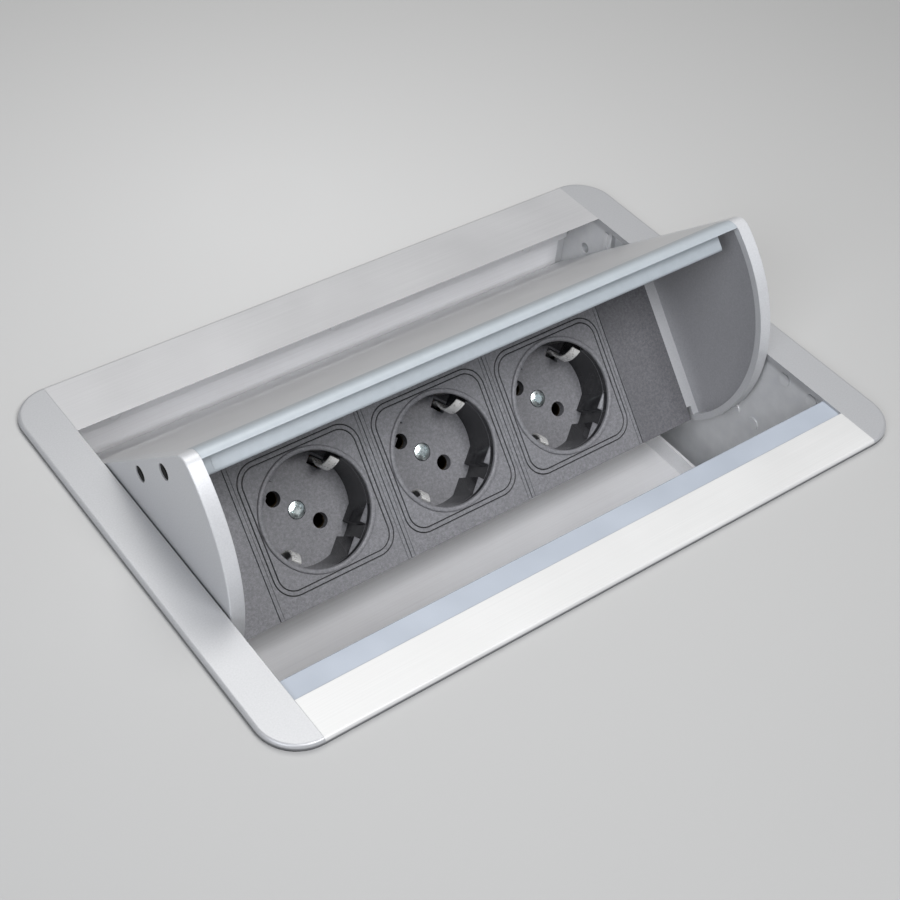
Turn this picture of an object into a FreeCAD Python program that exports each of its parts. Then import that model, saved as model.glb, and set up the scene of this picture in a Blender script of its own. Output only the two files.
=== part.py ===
import FreeCAD, Part
import math
import os
import Sketcher
from FreeCAD import Vector

# Built-in desk power unit with a carrier that tilts up out of a tub.
# The frame is millimetres, +Z up, +X along the unit, -Y towards the user, with Z = 0 at the
# underside and X = Y = 0 at the middle. The carrier is drawn closed, flush with the bezel,
# and is then turned open about its pivot, which is the stored pose.

doc = FreeCAD.newDocument("DeskPowerUnit")
sheet = doc.addObject("Spreadsheet::Sheet", "Sizes")
parts = []
aliases = []


# Sizes with their formulas

class Size:
    """A number together with the sheet formula that gives it."""

    def __init__(self, number, formula):
        self.number = number
        self.formula = formula

    def __add__(self, other):
        return joined(self, "+", other, self.number + number(other))

    def __radd__(self, other):
        return joined(other, "+", self, number(other) + self.number)

    def __sub__(self, other):
        return joined(self, "-", other, self.number - number(other))

    def __rsub__(self, other):
        return joined(other, "-", self, number(other) - self.number)

    def __mul__(self, other):
        return joined(self, "*", other, self.number * number(other))

    def __rmul__(self, other):
        return joined(other, "*", self, number(other) * self.number)

    def __truediv__(self, other):
        return joined(self, "/", other, self.number / number(other))

    def __neg__(self):
        return joined(-1, "*", self, -self.number)


def number(value):
    return value.number if isinstance(value, Size) else float(value)


def formula(value):
    return value.formula if isinstance(value, Size) else "(%s)" % repr(float(value))


def joined(left, sign, right, result):
    return Size(result, "(%s %s %s)" % (formula(left), sign, formula(right)))


def root(value):
    return Size(math.sqrt(number(value)), "sqrt(%s)" % formula(value))


def cosine(degrees):
    return Size(math.cos(math.radians(number(degrees))), "cos(%s)" % formula(degrees))


def sine(degrees):
    return Size(math.sin(math.radians(number(degrees))), "sin(%s)" % formula(degrees))


def size(alias, value):
    """Writes one driving size into the sheet and gives it back for use in the model."""
    aliases.append(alias)
    row = len(aliases)
    sheet.set("A%d" % row, alias)
    sheet.set("B%d" % row, repr(float(value)))
    sheet.setAlias("B%d" % row, alias)
    return Size(float(value), "Sizes." + alias)


# Driving sizes: bezel

unit_height = size("unit_height", 77.0)
bezel_length = size("bezel_length", 250.0)
bezel_width = size("bezel_width", 170.0)
bezel_thickness = size("bezel_thickness", 2.2)
corner_radius = size("corner_radius", 14.0)
cap_width = size("cap_width", 14.3)
rim_round = size("rim_round", 1.2)
front_rail_width = size("front_rail_width", 15.9)
rear_rail_width = size("rear_rail_width", 24.6)
strip_width = size("strip_width", 8.8)
strip_thickness = size("strip_thickness", 1.2)
strip_drop = size("strip_drop", 1.0)
strip_groove = size("strip_groove", 0.3)
ledge_thickness = size("ledge_thickness", 1.8)
web_thickness = size("web_thickness", 2.0)
web_height = size("web_height", 17.0)
port_diameter = size("port_diameter", 6.4)
port_bore = size("port_bore", 3.3)
port_inset = size("port_inset", 13.0)
port_overlap = size("port_overlap", 0.4)

# Driving sizes: tub

end_overhang = size("end_overhang", 10.0)
side_overhang = size("side_overhang", 5.3)
sheet_thickness = size("sheet_thickness", 1.2)
bend_radius = size("bend_radius", 1.5)
end_wall_thickness = size("end_wall_thickness", 3.5)
shelf_thickness = size("shelf_thickness", 2.5)
shelf_reach = size("shelf_reach", 14.0)
trough_end_gap = size("trough_end_gap", 6.85)
floor_lip_height = size("floor_lip_height", 8.0)
upstand_height = size("upstand_height", 5.9)
wall_end_gap = size("wall_end_gap", 3.2)
rib_inset = size("rib_inset", 24.3)
rib_width = size("rib_width", 2.0)
rib_top_gap = size("rib_top_gap", 1.5)
slot_inset = size("slot_inset", 32.0)
slot_width = size("slot_width", 6.0)
slot_height = size("slot_height", 9.0)
slot_depth = size("slot_depth", 2.4)
mark_diameter = size("mark_diameter", 5.0)
mark_height = size("mark_height", 0.6)
mark_top = size("mark_top", 5.2)
mark_low = size("mark_low", 33.2)
mark_first_inset = size("mark_first_inset", 22.8)
mark_second_inset = size("mark_second_inset", 36.2)
mark_third_inset = size("mark_third_inset", 44.5)
mark_fourth_inset = size("mark_fourth_inset", 54.1)
table_screw_inset = size("table_screw_inset", 13.7)
table_screw_drop = size("table_screw_drop", 18.0)
table_screw_hole = size("table_screw_hole", 4.2)
trough_screw_inset = size("trough_screw_inset", 18.3)
trough_screw_drop = size("trough_screw_drop", 13.0)
rail_screw_length = size("rail_screw_length", 14.0)

# Driving sizes: carrier

open_angle = size("open_angle", 42.0)
lid_rear_gap = size("lid_rear_gap", 1.0)
pivot_z = size("pivot_z", 38.2)
rear_radius = size("rear_radius", 32.0)
cheek_front_gap = size("cheek_front_gap", 2.7)
cheek_gap = size("cheek_gap", 1.5)
cheek_thickness = size("cheek_thickness", 5.0)
cheek_floor = size("cheek_floor", 2.4)
cheek_rim = size("cheek_rim", 2.6)
cheek_corner = size("cheek_corner", 5.0)
cheek_seat_depth = size("cheek_seat_depth", 18.0)
lip_clearance = size("lip_clearance", 0.6)
pivot_boss = size("pivot_boss", 18.0)
lug_diameter = size("lug_diameter", 8.4)
head_sink = size("head_sink", 3.6)
rim_edge_round = size("rim_edge_round", 0.5)
lid_thickness = size("lid_thickness", 3.0)
nose_radius = size("nose_radius", 4.5)
nose_setback = size("nose_setback", 5.3)
nose_lip = size("nose_lip", 3.3)
flange_setback = size("flange_setback", 1.5)
flange_thickness = size("flange_thickness", 2.0)
flange_drop = size("flange_drop", 9.2)
flange_end_gap = size("flange_end_gap", 4.5)
lid_screw_first = size("lid_screw_first", 16.0)
lid_screw_second = size("lid_screw_second", 37.1)
lid_screw_depth = size("lid_screw_depth", 4.6)
cheek_screw_length = size("cheek_screw_length", 16.0)

# Driving sizes: socket strip and the housing behind it

strip_end_gap = size("strip_end_gap", 1.9)
pivot_setback = size("pivot_setback", 25.5)
strip_bottom = size("strip_bottom", 7.5)
strip_height = size("strip_height", 58.2)
plate_thickness = size("plate_thickness", 3.0)
module_pitch = size("module_pitch", 52.7)
seam_gap = size("seam_gap", 0.3)
frame_side = size("frame_side", 47.6)
frame_corner = size("frame_corner", 8.0)
frame_border = size("frame_border", 1.7)
groove_width = size("groove_width", 0.45)
groove_depth = size("groove_depth", 0.5)
edge_line_inset = size("edge_line_inset", 1.2)
edge_line_width = size("edge_line_width", 0.25)
housing_depth = size("housing_depth", 37.1)
housing_wall = size("housing_wall", 1.8)
housing_corner = size("housing_corner", 5.0)
housing_screw_setback = size("housing_screw_setback", 10.1)
housing_screw_inset = size("housing_screw_inset", 8.5)
housing_screw_length = size("housing_screw_length", 13.0)
housing_lug_length = size("housing_lug_length", 6.0)
post_diameter = size("post_diameter", 8.0)
pivot_opening = size("pivot_opening", 14.0)

# Driving sizes: one socket

recess_diameter = size("recess_diameter", 39.5)
insert_rim = size("insert_rim", 1.75)
insert_rim_round = size("insert_rim_round", 0.6)
insert_proud = size("insert_proud", 0.8)
recess_depth = size("recess_depth", 17.5)
insert_floor = size("insert_floor", 3.0)
insert_gap = size("insert_gap", 0.05)
guide_flat = size("guide_flat", 34.6)
guide_sunk = size("guide_sunk", 2.6)
guide_slot = size("guide_slot", 5.6)
pin_spacing = size("pin_spacing", 19.0)
pin_hole = size("pin_hole", 5.6)
pin_line_angle = size("pin_line_angle", 45.0)
block_depth = size("block_depth", 14.3)
block_half_x = size("block_half_x", 14.8)
block_half_z = size("block_half_z", 7.0)
block_corner = size("block_corner", 2.0)
sleeve_outer = size("sleeve_outer", 6.8)
sleeve_bore = size("sleeve_bore", 4.9)
sleeve_length = size("sleeve_length", 13.0)
sleeve_base = size("sleeve_base", 1.5)
tail_width = size("tail_width", 4.0)
tail_end = size("tail_end", 36.4)
clip_width = size("clip_width", 5.0)
clip_thickness = size("clip_thickness", 0.8)
clip_radius = size("clip_radius", 18.7)
clip_top = size("clip_top", 3.0)
clip_gap = size("clip_gap", 0.3)
window_inwards = size("window_inwards", 2.6)
screw_hole = size("screw_hole", 3.6)
centre_head = size("centre_head", 6.0)
centre_head_gap = size("centre_head_gap", 0.3)
centre_sink = size("centre_sink", 1.2)
centre_head_height = size("centre_head_height", 1.8)
centre_screw_length = size("centre_screw_length", 22.0)
cross_slot_width = size("cross_slot_width", 0.9)
cross_slot_length = size("cross_slot_length", 3.8)
cross_slot_depth = size("cross_slot_depth", 0.8)

# Driving sizes: wiring inside the housing

busbar_thickness = size("busbar_thickness", 0.8)
busbar_width = size("busbar_width", 4.0)
busbar_past = size("busbar_past", 7.3)
terminal_offset = size("terminal_offset", 16.8)
terminal_width = size("terminal_width", 9.5)
terminal_depth = size("terminal_depth", 13.0)
terminal_low = size("terminal_low", 26.5)
terminal_high = size("terminal_high", 53.0)
terminal_sink = size("terminal_sink", 2.5)
terminal_recess = size("terminal_recess", 0.6)
terminal_head = size("terminal_head", 4.6)
wire_entry = size("wire_entry", 3.0)
inlet_inset = size("inlet_inset", 12.9)
inlet_rise = size("inlet_rise", 11.9)
inlet_waist = size("inlet_waist", 10.6)
inlet_flange = size("inlet_flange", 13.4)

# Driving sizes: pivots, springs and screws

pin_diameter = size("pin_diameter", 8.0)
pin_head = size("pin_head", 13.0)
pin_head_thickness = size("pin_head_thickness", 1.4)
pin_reach = size("pin_reach", 18.5)
bush_wall = size("bush_wall", 1.5)
bush_flange = size("bush_flange", 15.0)
bush_flange_thickness = size("bush_flange_thickness", 1.1)
running_gap = size("running_gap", 0.05)
fixed_gap = size("fixed_gap", 0.02)
spring_radius = size("spring_radius", 5.6)
spring_wire = size("spring_wire", 1.4)
spring_pitch = size("spring_pitch", 1.9)
spring_leg = size("spring_leg", 9.0)
screw_shank = size("screw_shank", 2.9)
screw_head = size("screw_head", 5.2)
screw_head_height = size("screw_head_height", 1.3)
screw_clearance = size("screw_clearance", 3.3)
head_pocket = size("head_pocket", 5.6)

# Driving sizes: cord inlet and clamp

cord_inset = size("cord_inset", 41.5)
cord_z = size("cord_z", 22.0)
grommet_bore = size("grommet_bore", 8.0)
grommet_waist = size("grommet_waist", 14.0)
grommet_flange = size("grommet_flange", 19.0)
grommet_lip = size("grommet_lip", 2.0)
grommet_outside = size("grommet_outside", 0.7)
clamp_width = size("clamp_width", 24.0)
clamp_length = size("clamp_length", 8.0)
clamp_inset = size("clamp_inset", 12.5)
clamp_base = size("clamp_base", 3.0)
clamp_bed = size("clamp_bed", 1.0)
clamp_roof = size("clamp_roof", 3.0)
clamp_screw_offset = size("clamp_screw_offset", 8.5)

# Driving sizes: latch, stops and pads

latch_z = size("latch_z", 15.5)
latch_width = size("latch_width", 20.0)
latch_height = size("latch_height", 13.0)
latch_reach = size("latch_reach", 28.5)
latch_flange = size("latch_flange", 2.0)
latch_flange_width = size("latch_flange_width", 42.0)
latch_screw_x = size("latch_screw_x", 17.0)
latch_tip_gap = size("latch_tip_gap", 0.3)
latch_bore_spare = size("latch_bore_spare", 2.4)
plunger_diameter = size("plunger_diameter", 6.0)
plunger_length = size("plunger_length", 16.5)
plunger_travel = size("plunger_travel", 3.0)
plunger_collar = size("plunger_collar", 9.0)
plunger_collar_length = size("plunger_collar_length", 1.6)
striker_thickness = size("striker_thickness", 1.0)
striker_width = size("striker_width", 16.0)
striker_height = size("striker_height", 9.0)
stop_gap = size("stop_gap", 0.3)
stop_x = size("stop_x", 36.0)
stop_width = size("stop_width", 14.0)
stop_height = size("stop_height", 9.0)
stop_depth = size("stop_depth", 6.0)
pad_far = size("pad_far", -24.0)
pad_near = size("pad_near", -18.0)
pad_width = size("pad_width", 4.4)

# Places worked out from the driving sizes: bezel and tub

half_length = bezel_length / 2
half_width = bezel_width / 2
cap_edge = half_length - cap_width
plate_bottom = unit_height - bezel_thickness
wall_outer = half_length - end_overhang
wall_inner = wall_outer - end_wall_thickness
tub_half = half_width - side_overhang
tub_inside = tub_half - sheet_thickness
floor_top = shelf_thickness + sheet_thickness
lip_outer = wall_inner - trough_end_gap
lip_inner = lip_outer - sheet_thickness
wall_end = wall_inner - wall_end_gap
rail_web_outer = tub_inside
rail_web_inner = tub_inside - web_thickness
web_bottom = plate_bottom - web_height
port_y = half_width - port_inset
port_z = plate_bottom - port_diameter / 2 + port_overlap
strip_front = -half_width + front_rail_width
strip_rear = strip_front + strip_width
ledge_top = unit_height - strip_drop - strip_thickness
ledge_bottom = ledge_top - ledge_thickness
rear_edge = half_width - rear_rail_width
rib_y = tub_inside - rib_inset
slot_y = tub_inside - slot_inset
mark_places = ((mark_first_inset - tub_inside, mark_top), (mark_second_inset - tub_inside, mark_top),
               (mark_third_inset - tub_inside, mark_low), (mark_fourth_inset - tub_inside, mark_low))
table_screw_y = tub_half - table_screw_inset
table_screw_z = unit_height - table_screw_drop
trough_screw_x = wall_end - trough_screw_inset
trough_screw_places = (-trough_screw_x, 0, trough_screw_x)
trough_screw_z = plate_bottom - trough_screw_drop
cord_x = cord_inset - wall_inner

# Places worked out from the driving sizes: carrier

pivot_y = rear_edge - lid_rear_gap - rear_radius
front_radius = -strip_rear - cheek_front_gap
lid_rear = pivot_y + rear_radius
cheek_bottom = pivot_z - rear_radius
cheek_outer = wall_inner - cheek_gap
cheek_inner = cheek_outer - cheek_thickness
strip_end = cheek_inner - strip_end_gap
front_centre_z = cheek_bottom + front_radius
corner_z = unit_height - cheek_corner
corner_reach = front_radius - cheek_corner
corner_rise = corner_z - front_centre_z
corner_y = -root(corner_reach * corner_reach - corner_rise * corner_rise)
lid_underside = unit_height - lid_thickness
nose_flat_y = nose_setback - front_radius
screw_port_z = unit_height - lid_screw_depth
lid_screw_places = (nose_flat_y + lid_screw_first, nose_flat_y + lid_screw_second)
bush_bore = pin_diameter + 2 * running_gap
bush_outer = bush_bore + 2 * bush_wall
head_face = cheek_outer - head_sink + screw_head_height

# Places worked out from the driving sizes: socket strip

face_y = pivot_y - pivot_setback
plate_back = face_y + plate_thickness
strip_top = strip_bottom + strip_height
socket_z = strip_bottom + strip_height / 2
module_places = (-module_pitch, 0, module_pitch)
housing_back = plate_back + housing_depth
housing_inner = housing_back - housing_wall
housing_screw_y = face_y + housing_screw_setback
housing_screw_places = (strip_bottom + housing_screw_inset, strip_top - housing_screw_inset)
insert_radius = recess_diameter / 2 + insert_rim
recess_floor = recess_depth - insert_proud
insert_back = recess_floor + insert_floor
block_back = insert_back + block_depth
inlet_x = inlet_inset - strip_end
inlet_z = strip_bottom + inlet_rise


# Drawing tools

PAST = 1  # How far a cutting tool reaches beyond the face that it opens

OPEN = "placement(vector(0; 0; 0); rotation(vector(-1; 0; 0); %s); vector(0; %s; %s))" % (
    formula(open_angle), formula(pivot_y), formula(pivot_z))


def shifted(x, y, z):
    return "placement(vector(%s; %s; %s); rotation(vector(0; 0; 1); 0))" % (
        formula(x), formula(y), formula(z))


def socket_place(x):
    """Puts the socket's own frame on the strip: Y runs into the socket, X along its pin line."""
    return OPEN + " * placement(vector(%s; %s; %s); rotation(vector(0; 1; 0); %s))" % (
        formula(x), formula(face_y), formula(socket_z), formula(pin_line_angle))


def keep(thing, label, placement=None):
    """Names a finished sub-part, places it and lists it for export."""
    thing.Label = label
    if placement:
        thing.setExpression("Placement", placement)
    parts.append(thing)
    return thing


def new_body(label, placement=None):
    return keep(doc.addObject("PartDesign::Body", label), label, placement)


def sketch_on(body, plane, level=0):
    """An empty sketch on XY, XZ or YZ at the given height along the third axis."""
    role = plane + "_Plane"
    support = [item for item in body.Origin.OriginFeatures if item.Role == role][0]
    sketch = body.newObject("Sketcher::SketchObject", "Sketch")
    sketch.AttachmentSupport = [(support, "")]
    sketch.MapMode = "FlatFace"
    height = -1 * level if plane == "XZ" else level
    sketch.setExpression("AttachmentOffset.Base.z", formula(height))
    return sketch


def hold(sketch, kind, curve, point, value):
    if point is None:
        index = sketch.addConstraint(Sketcher.Constraint(kind, curve, number(value)))
    else:
        index = sketch.addConstraint(Sketcher.Constraint(kind, curve, point, number(value)))
    sketch.setExpression("Constraints[%d]" % index, formula(value))


def line_to(x, y):
    return ("line", x, y)


def arc_to(centre_x, centre_y, x, y, held, turn=1):
    """An arc about a centre; only the held coordinate of its end is set, the radius gives the other."""
    return ("arc", x, y, centre_x, centre_y, held, turn)


def outline(sketch, steps):
    """A closed outline that starts where its last step ends."""
    first = sketch.GeometryCount
    ends = []
    for index, step in enumerate(steps):
        before = steps[index - 1]
        start = Vector(number(before[1]), number(before[2]), 0)
        end = Vector(number(step[1]), number(step[2]), 0)
        if step[0] == "line":
            sketch.addGeometry(Part.LineSegment(start, end), False)
            ends.append((1, 2))
            continue
        centre = Vector(number(step[3]), number(step[4]), 0)
        circle = Part.Circle(centre, Vector(0, 0, 1), (start - centre).Length)
        from_angle = math.atan2(start.y - centre.y, start.x - centre.x)
        to_angle = math.atan2(end.y - centre.y, end.x - centre.x)
        if step[6] > 0:
            sketch.addGeometry(Part.ArcOfCircle(circle, from_angle, to_angle), False)
            ends.append((1, 2))
        else:
            sketch.addGeometry(Part.ArcOfCircle(circle, to_angle, from_angle), False)
            ends.append((2, 1))
    count = len(steps)
    for index in range(count):
        after = (index + 1) % count
        sketch.addConstraint(Sketcher.Constraint(
            "Coincident", first + index, ends[index][1], first + after, ends[after][0]))
    for index, step in enumerate(steps):
        curve = first + index
        if step[0] == "line":
            hold(sketch, "DistanceX", curve, ends[index][1], step[1])
            hold(sketch, "DistanceY", curve, ends[index][1], step[2])
            continue
        hold(sketch, "DistanceX", curve, 3, step[3])
        hold(sketch, "DistanceY", curve, 3, step[4])
        if step[5] == "x":
            hold(sketch, "DistanceX", curve, ends[index][1], step[1])
        else:
            hold(sketch, "DistanceY", curve, ends[index][1], step[2])


def circle(sketch, x, y, diameter):
    centre = Vector(number(x), number(y), 0)
    curve = sketch.addGeometry(Part.Circle(centre, Vector(0, 0, 1), number(diameter) / 2), False)
    hold(sketch, "Diameter", curve, None, diameter)
    hold(sketch, "DistanceX", curve, 3, x)
    hold(sketch, "DistanceY", curve, 3, y)


def rectangle(sketch, left, right, bottom, top):
    outline(sketch, [line_to(right, bottom), line_to(right, top),
                     line_to(left, top), line_to(left, bottom)])


def rounded_rectangle(sketch, left, right, bottom, top, radius):
    outline(sketch, [
        line_to(right - radius, bottom),
        arc_to(right - radius, bottom + radius, right, bottom + radius, "y"),
        line_to(right, top - radius),
        arc_to(right - radius, top - radius, right - radius, top, "x"),
        line_to(left + radius, top),
        arc_to(left + radius, top - radius, left, top - radius, "y"),
        line_to(left, bottom + radius),
        arc_to(left + radius, bottom + radius, left + radius, bottom, "x")])


def feature(kind, body, sketch, length, reversed_way):
    made = body.newObject("PartDesign::" + kind, kind)
    made.Profile = sketch
    made.Reversed = reversed_way
    made.setExpression("Length", formula(length))
    return made


def faces_minus_y(sketch):
    return sketch.AttachmentSupport[0][0].Role == "XZ_Plane"


def pad(body, sketch, length, upwards=True):
    """Adds material from the sketch towards higher (upwards) or lower coordinates."""
    return feature("Pad", body, sketch, length, upwards == faces_minus_y(sketch))


def pocket(body, sketch, length, upwards=True):
    """Cuts from the sketch towards higher (upwards) or lower coordinates."""
    return feature("Pocket", body, sketch, length, upwards != faces_minus_y(sketch))


def round_edges(body, radius, chosen):
    """Rounds the edges of the body so far that the chosen test picks."""
    doc.recompute()
    base = body.Tip
    names = []
    for index, edge in enumerate(base.Shape.Edges):
        if chosen(edge):
            names.append("Edge%d" % (index + 1))
    fillet = body.newObject("PartDesign::Fillet", "Fillet")
    fillet.Base = (base, names)
    fillet.setExpression("Radius", formula(radius))
    return fillet


def block(x, y, z, name="Block"):
    """A box between pairs of low and high coordinates."""
    made = doc.addObject("Part::Box", name)
    for prop, pair in (("Length", x), ("Width", y), ("Height", z)):
        made.setExpression(prop, formula(pair[1] - pair[0]))
    made.setExpression("Placement", shifted(x[0], y[0], z[0]))
    return made


TURNS = {"X": "rotation(vector(0; 1; 0); 90)",
         "Y": "rotation(vector(-1; 0; 0); 90)",
         "Z": "rotation(vector(0; 0; 1); 0)"}


def rod(axis, place, start, end, diameter):
    """A round bar along an axis; place holds its other two coordinates in X, Y, Z order."""
    if number(end) < number(start):
        start, end = end, start
    first, second = place
    base = {"X": (start, first, second), "Y": (first, start, second), "Z": (first, second, start)}
    made = doc.addObject("Part::Cylinder", "Rod")
    made.setExpression("Radius", formula(diameter / 2))
    made.setExpression("Height", formula(end - start))
    made.setExpression("Placement", "placement(vector(%s; %s; %s); %s)" % (
        tuple(formula(value) for value in base[axis]) + (TURNS[axis],)))
    return made


def fused(*pieces):
    if len(pieces) == 1:
        return pieces[0]
    made = doc.addObject("Part::MultiFuse", "Fused")
    made.Shapes = list(pieces)
    return made


def cut(base, *tools):
    made = doc.addObject("Part::Cut", "Cut")
    made.Base = base
    made.Tool = fused(*tools)
    return made


def group(pieces):
    made = doc.addObject("Part::Compound", "Group")
    made.Links = list(pieces)
    return made


def headed(axis, place, head_end, tip_end, head_height=screw_head_height,
           head=screw_head, shank=screw_shank):
    """A pan-head screw along an axis from the top of its head to its tip."""
    way = 1 if number(tip_end) > number(head_end) else -1
    neck = head_end + way * head_height
    return fused(rod(axis, place, head_end, neck, head), rod(axis, place, neck, tip_end, shank))


# End caps: one casting each, with the end of the bezel, the end wall of the tub and a shelf

def end_cap(label, side):
    body = new_body(label)
    plate = sketch_on(body, "XY", plate_bottom)
    centre_x = side * (half_length - corner_radius)
    centre_y = half_width - corner_radius
    outline(plate, [
        line_to(side * cap_edge, -half_width),
        line_to(centre_x, -half_width),
        arc_to(centre_x, -centre_y, side * half_length, -centre_y, "y", side),
        line_to(side * half_length, centre_y),
        arc_to(centre_x, centre_y, centre_x, half_width, "x", side),
        line_to(side * cap_edge, half_width)])
    pad(body, plate, bezel_thickness)
    wall = sketch_on(body, "YZ", side * wall_inner)
    rectangle(wall, -tub_half, tub_half, 0, plate_bottom + bezel_thickness / 2)
    pad(body, wall, end_wall_thickness, side > 0)
    shelf = sketch_on(body, "YZ", side * wall_inner)
    rectangle(shelf, -tub_half, tub_half, 0, shelf_thickness)
    pad(body, shelf, shelf_reach, side < 0)
    returns = sketch_on(body, "YZ", side * wall_inner)
    rectangle(returns, tub_inside, tub_half, 0, plate_bottom)
    rectangle(returns, -tub_half, -tub_inside, 0, plate_bottom)
    pad(body, returns, wall_end_gap, side < 0)
    details = sketch_on(body, "YZ", side * wall_inner)
    rectangle(details, rib_y, rib_y + rib_width, floor_top, plate_bottom - rib_top_gap)
    for y, depth in mark_places:
        circle(details, y, unit_height - depth, mark_diameter)
    pad(body, details, mark_height, side < 0)
    slot = sketch_on(body, "YZ", side * wall_inner)
    rectangle(slot, slot_y, slot_y + slot_width, plate_bottom - slot_height, plate_bottom)
    pocket(body, slot, slot_depth, side > 0)
    through = sketch_on(body, "YZ", side * wall_inner)
    circle(through, pivot_y, pivot_z, pin_diameter + 2 * fixed_gap)
    for way in (-1, 1):
        circle(through, way * port_y, port_z, screw_clearance)
        circle(through, way * table_screw_y, table_screw_z, table_screw_hole)
    pocket(body, through, end_wall_thickness, side > 0)
    sunk = sketch_on(body, "YZ", side * wall_outer)
    circle(sunk, pivot_y, pivot_z, pin_head + 2 * fixed_gap)
    pocket(body, sunk, pin_head_thickness, side < 0)
    sunk_heads = sketch_on(body, "YZ", side * wall_outer)
    for way in (-1, 1):
        circle(sunk_heads, way * port_y, port_z, head_pocket)
    pocket(body, sunk_heads, screw_head_height, side < 0)

    def top_rim(edge):
        low, high = edge.BoundBox.ZMin, edge.BoundBox.ZMax
        outside = abs(edge.BoundBox.Center.x) > number(cap_edge) + 1
        return min(low, high) > number(unit_height) - 0.01 and outside

    round_edges(body, rim_round, top_rim)
    return body


left_end_cap = end_cap("left_end_cap", -1)
right_end_cap = end_cap("right_end_cap", 1)


# Rails: two extrusions between the end caps, each with a web for the tub wall and a screw port

def rail(label, steps, side):
    body = new_body(label)
    section = sketch_on(body, "YZ", -cap_edge)
    outline(section, steps)
    pad(body, section, 2 * cap_edge)
    port = sketch_on(body, "YZ", -cap_edge)
    circle(port, side * port_y, port_z, port_diameter)
    pad(body, port, 2 * cap_edge)
    bore = sketch_on(body, "YZ", -cap_edge)
    circle(bore, side * port_y, port_z, port_bore)
    pocket(body, bore, 2 * cap_edge)
    across = sketch_on(body, "XZ", side * rail_web_inner)
    for x in trough_screw_places:
        circle(across, x, trough_screw_z, screw_clearance)
    pocket(body, across, web_thickness, side > 0)
    return body


front_rail = rail("front_rail", [
    line_to(-half_width, plate_bottom),
    line_to(-rail_web_outer, plate_bottom),
    line_to(-rail_web_outer, web_bottom),
    line_to(-rail_web_inner, web_bottom),
    line_to(-rail_web_inner, ledge_bottom),
    line_to(strip_rear, ledge_bottom),
    line_to(strip_rear, ledge_top),
    line_to(strip_front, ledge_top),
    line_to(strip_front, unit_height),
    line_to(-half_width + rim_round, unit_height),
    arc_to(-half_width + rim_round, unit_height - rim_round,
           -half_width, unit_height - rim_round, "y")], -1)

rear_rail = rail("rear_rail", [
    line_to(half_width, plate_bottom),
    line_to(half_width, unit_height - rim_round),
    arc_to(half_width - rim_round, unit_height - rim_round,
           half_width - rim_round, unit_height, "x"),
    line_to(rear_edge, unit_height),
    line_to(rear_edge + bezel_thickness, plate_bottom),
    line_to(rail_web_inner, plate_bottom),
    line_to(rail_web_inner, web_bottom),
    line_to(rail_web_outer, web_bottom),
    line_to(rail_web_outer, plate_bottom)], 1)


# Front lip strip: a smooth strip in the rail's ledge, a step lower than the bezel

def lip_strip():
    body = new_body("front_lip_strip")
    section = sketch_on(body, "YZ", -cap_edge)
    low = strip_front + strip_groove
    top = ledge_top + strip_thickness
    half = strip_thickness / 2
    outline(section, [
        line_to(low, ledge_top),
        line_to(strip_rear, ledge_top),
        line_to(strip_rear, ledge_top + half),
        arc_to(strip_rear - half, ledge_top + half, strip_rear - half, top, "x"),
        line_to(low, top)])
    pad(body, section, 2 * cap_edge)
    return body


front_lip_strip = lip_strip()


# Trough: one folded sheet for the tub's front and floor, with a low lip at each floor end and a low
# upstand at the rear

def folded_trough():
    body = new_body("trough")
    outer_bend = bend_radius + sheet_thickness
    floor_low = shelf_thickness
    upstand_inner = tub_inside - sheet_thickness
    upstand_top = shelf_thickness + upstand_height
    front_flat = -tub_inside + bend_radius
    rear_flat = upstand_inner - bend_radius
    section = sketch_on(body, "YZ", -wall_end)
    outline(section, [
        line_to(tub_inside - outer_bend, floor_low),
        arc_to(tub_inside - outer_bend, floor_low + outer_bend,
               tub_inside, floor_low + outer_bend, "y"),
        line_to(tub_inside, upstand_top),
        line_to(upstand_inner, upstand_top),
        line_to(upstand_inner, floor_top + bend_radius),
        arc_to(rear_flat, floor_top + bend_radius, rear_flat, floor_top, "x", -1),
        line_to(front_flat, floor_top),
        arc_to(front_flat, floor_top + bend_radius, -tub_inside, floor_top + bend_radius, "y", -1),
        line_to(-tub_inside, plate_bottom),
        line_to(-tub_half, plate_bottom),
        line_to(-tub_half, floor_low + outer_bend),
        arc_to(-tub_half + outer_bend, floor_low + outer_bend,
               -tub_half + outer_bend, floor_low, "x")])
    pad(body, section, 2 * wall_end)
    notches = sketch_on(body, "XY", floor_low)
    rectangle(notches, -wall_end - PAST, -lip_outer, front_flat, rear_flat)
    rectangle(notches, lip_outer, wall_end + PAST, front_flat, rear_flat)
    pocket(body, notches, 2 * sheet_thickness)
    lips = sketch_on(body, "XY", floor_top)
    rectangle(lips, -lip_outer, -lip_inner, front_flat, rear_flat)
    rectangle(lips, lip_inner, lip_outer, front_flat, rear_flat)
    pad(body, lips, floor_lip_height)
    holes = sketch_on(body, "XZ", -tub_half)
    for x in trough_screw_places:
        circle(holes, x, trough_screw_z, screw_shank + 2 * fixed_gap)
    pocket(body, holes, sheet_thickness)
    return body


trough = folded_trough()


# Rear wall: a flat sheet spot-welded to the trough's upstand and screwed to the rear rail's web

def flat_rear_wall():
    body = new_body("rear_wall")
    face = sketch_on(body, "XZ", tub_inside)
    rectangle(face, -wall_end, wall_end, shelf_thickness, plate_bottom)
    for x in trough_screw_places:
        circle(face, x, trough_screw_z, screw_shank + 2 * fixed_gap)
    for x in (-latch_screw_x, latch_screw_x):
        circle(face, x, latch_z, screw_shank + 2 * fixed_gap)
    circle(face, cord_x, cord_z, grommet_waist)
    pad(body, face, sheet_thickness)
    return body


rear_wall = flat_rear_wall()

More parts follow.
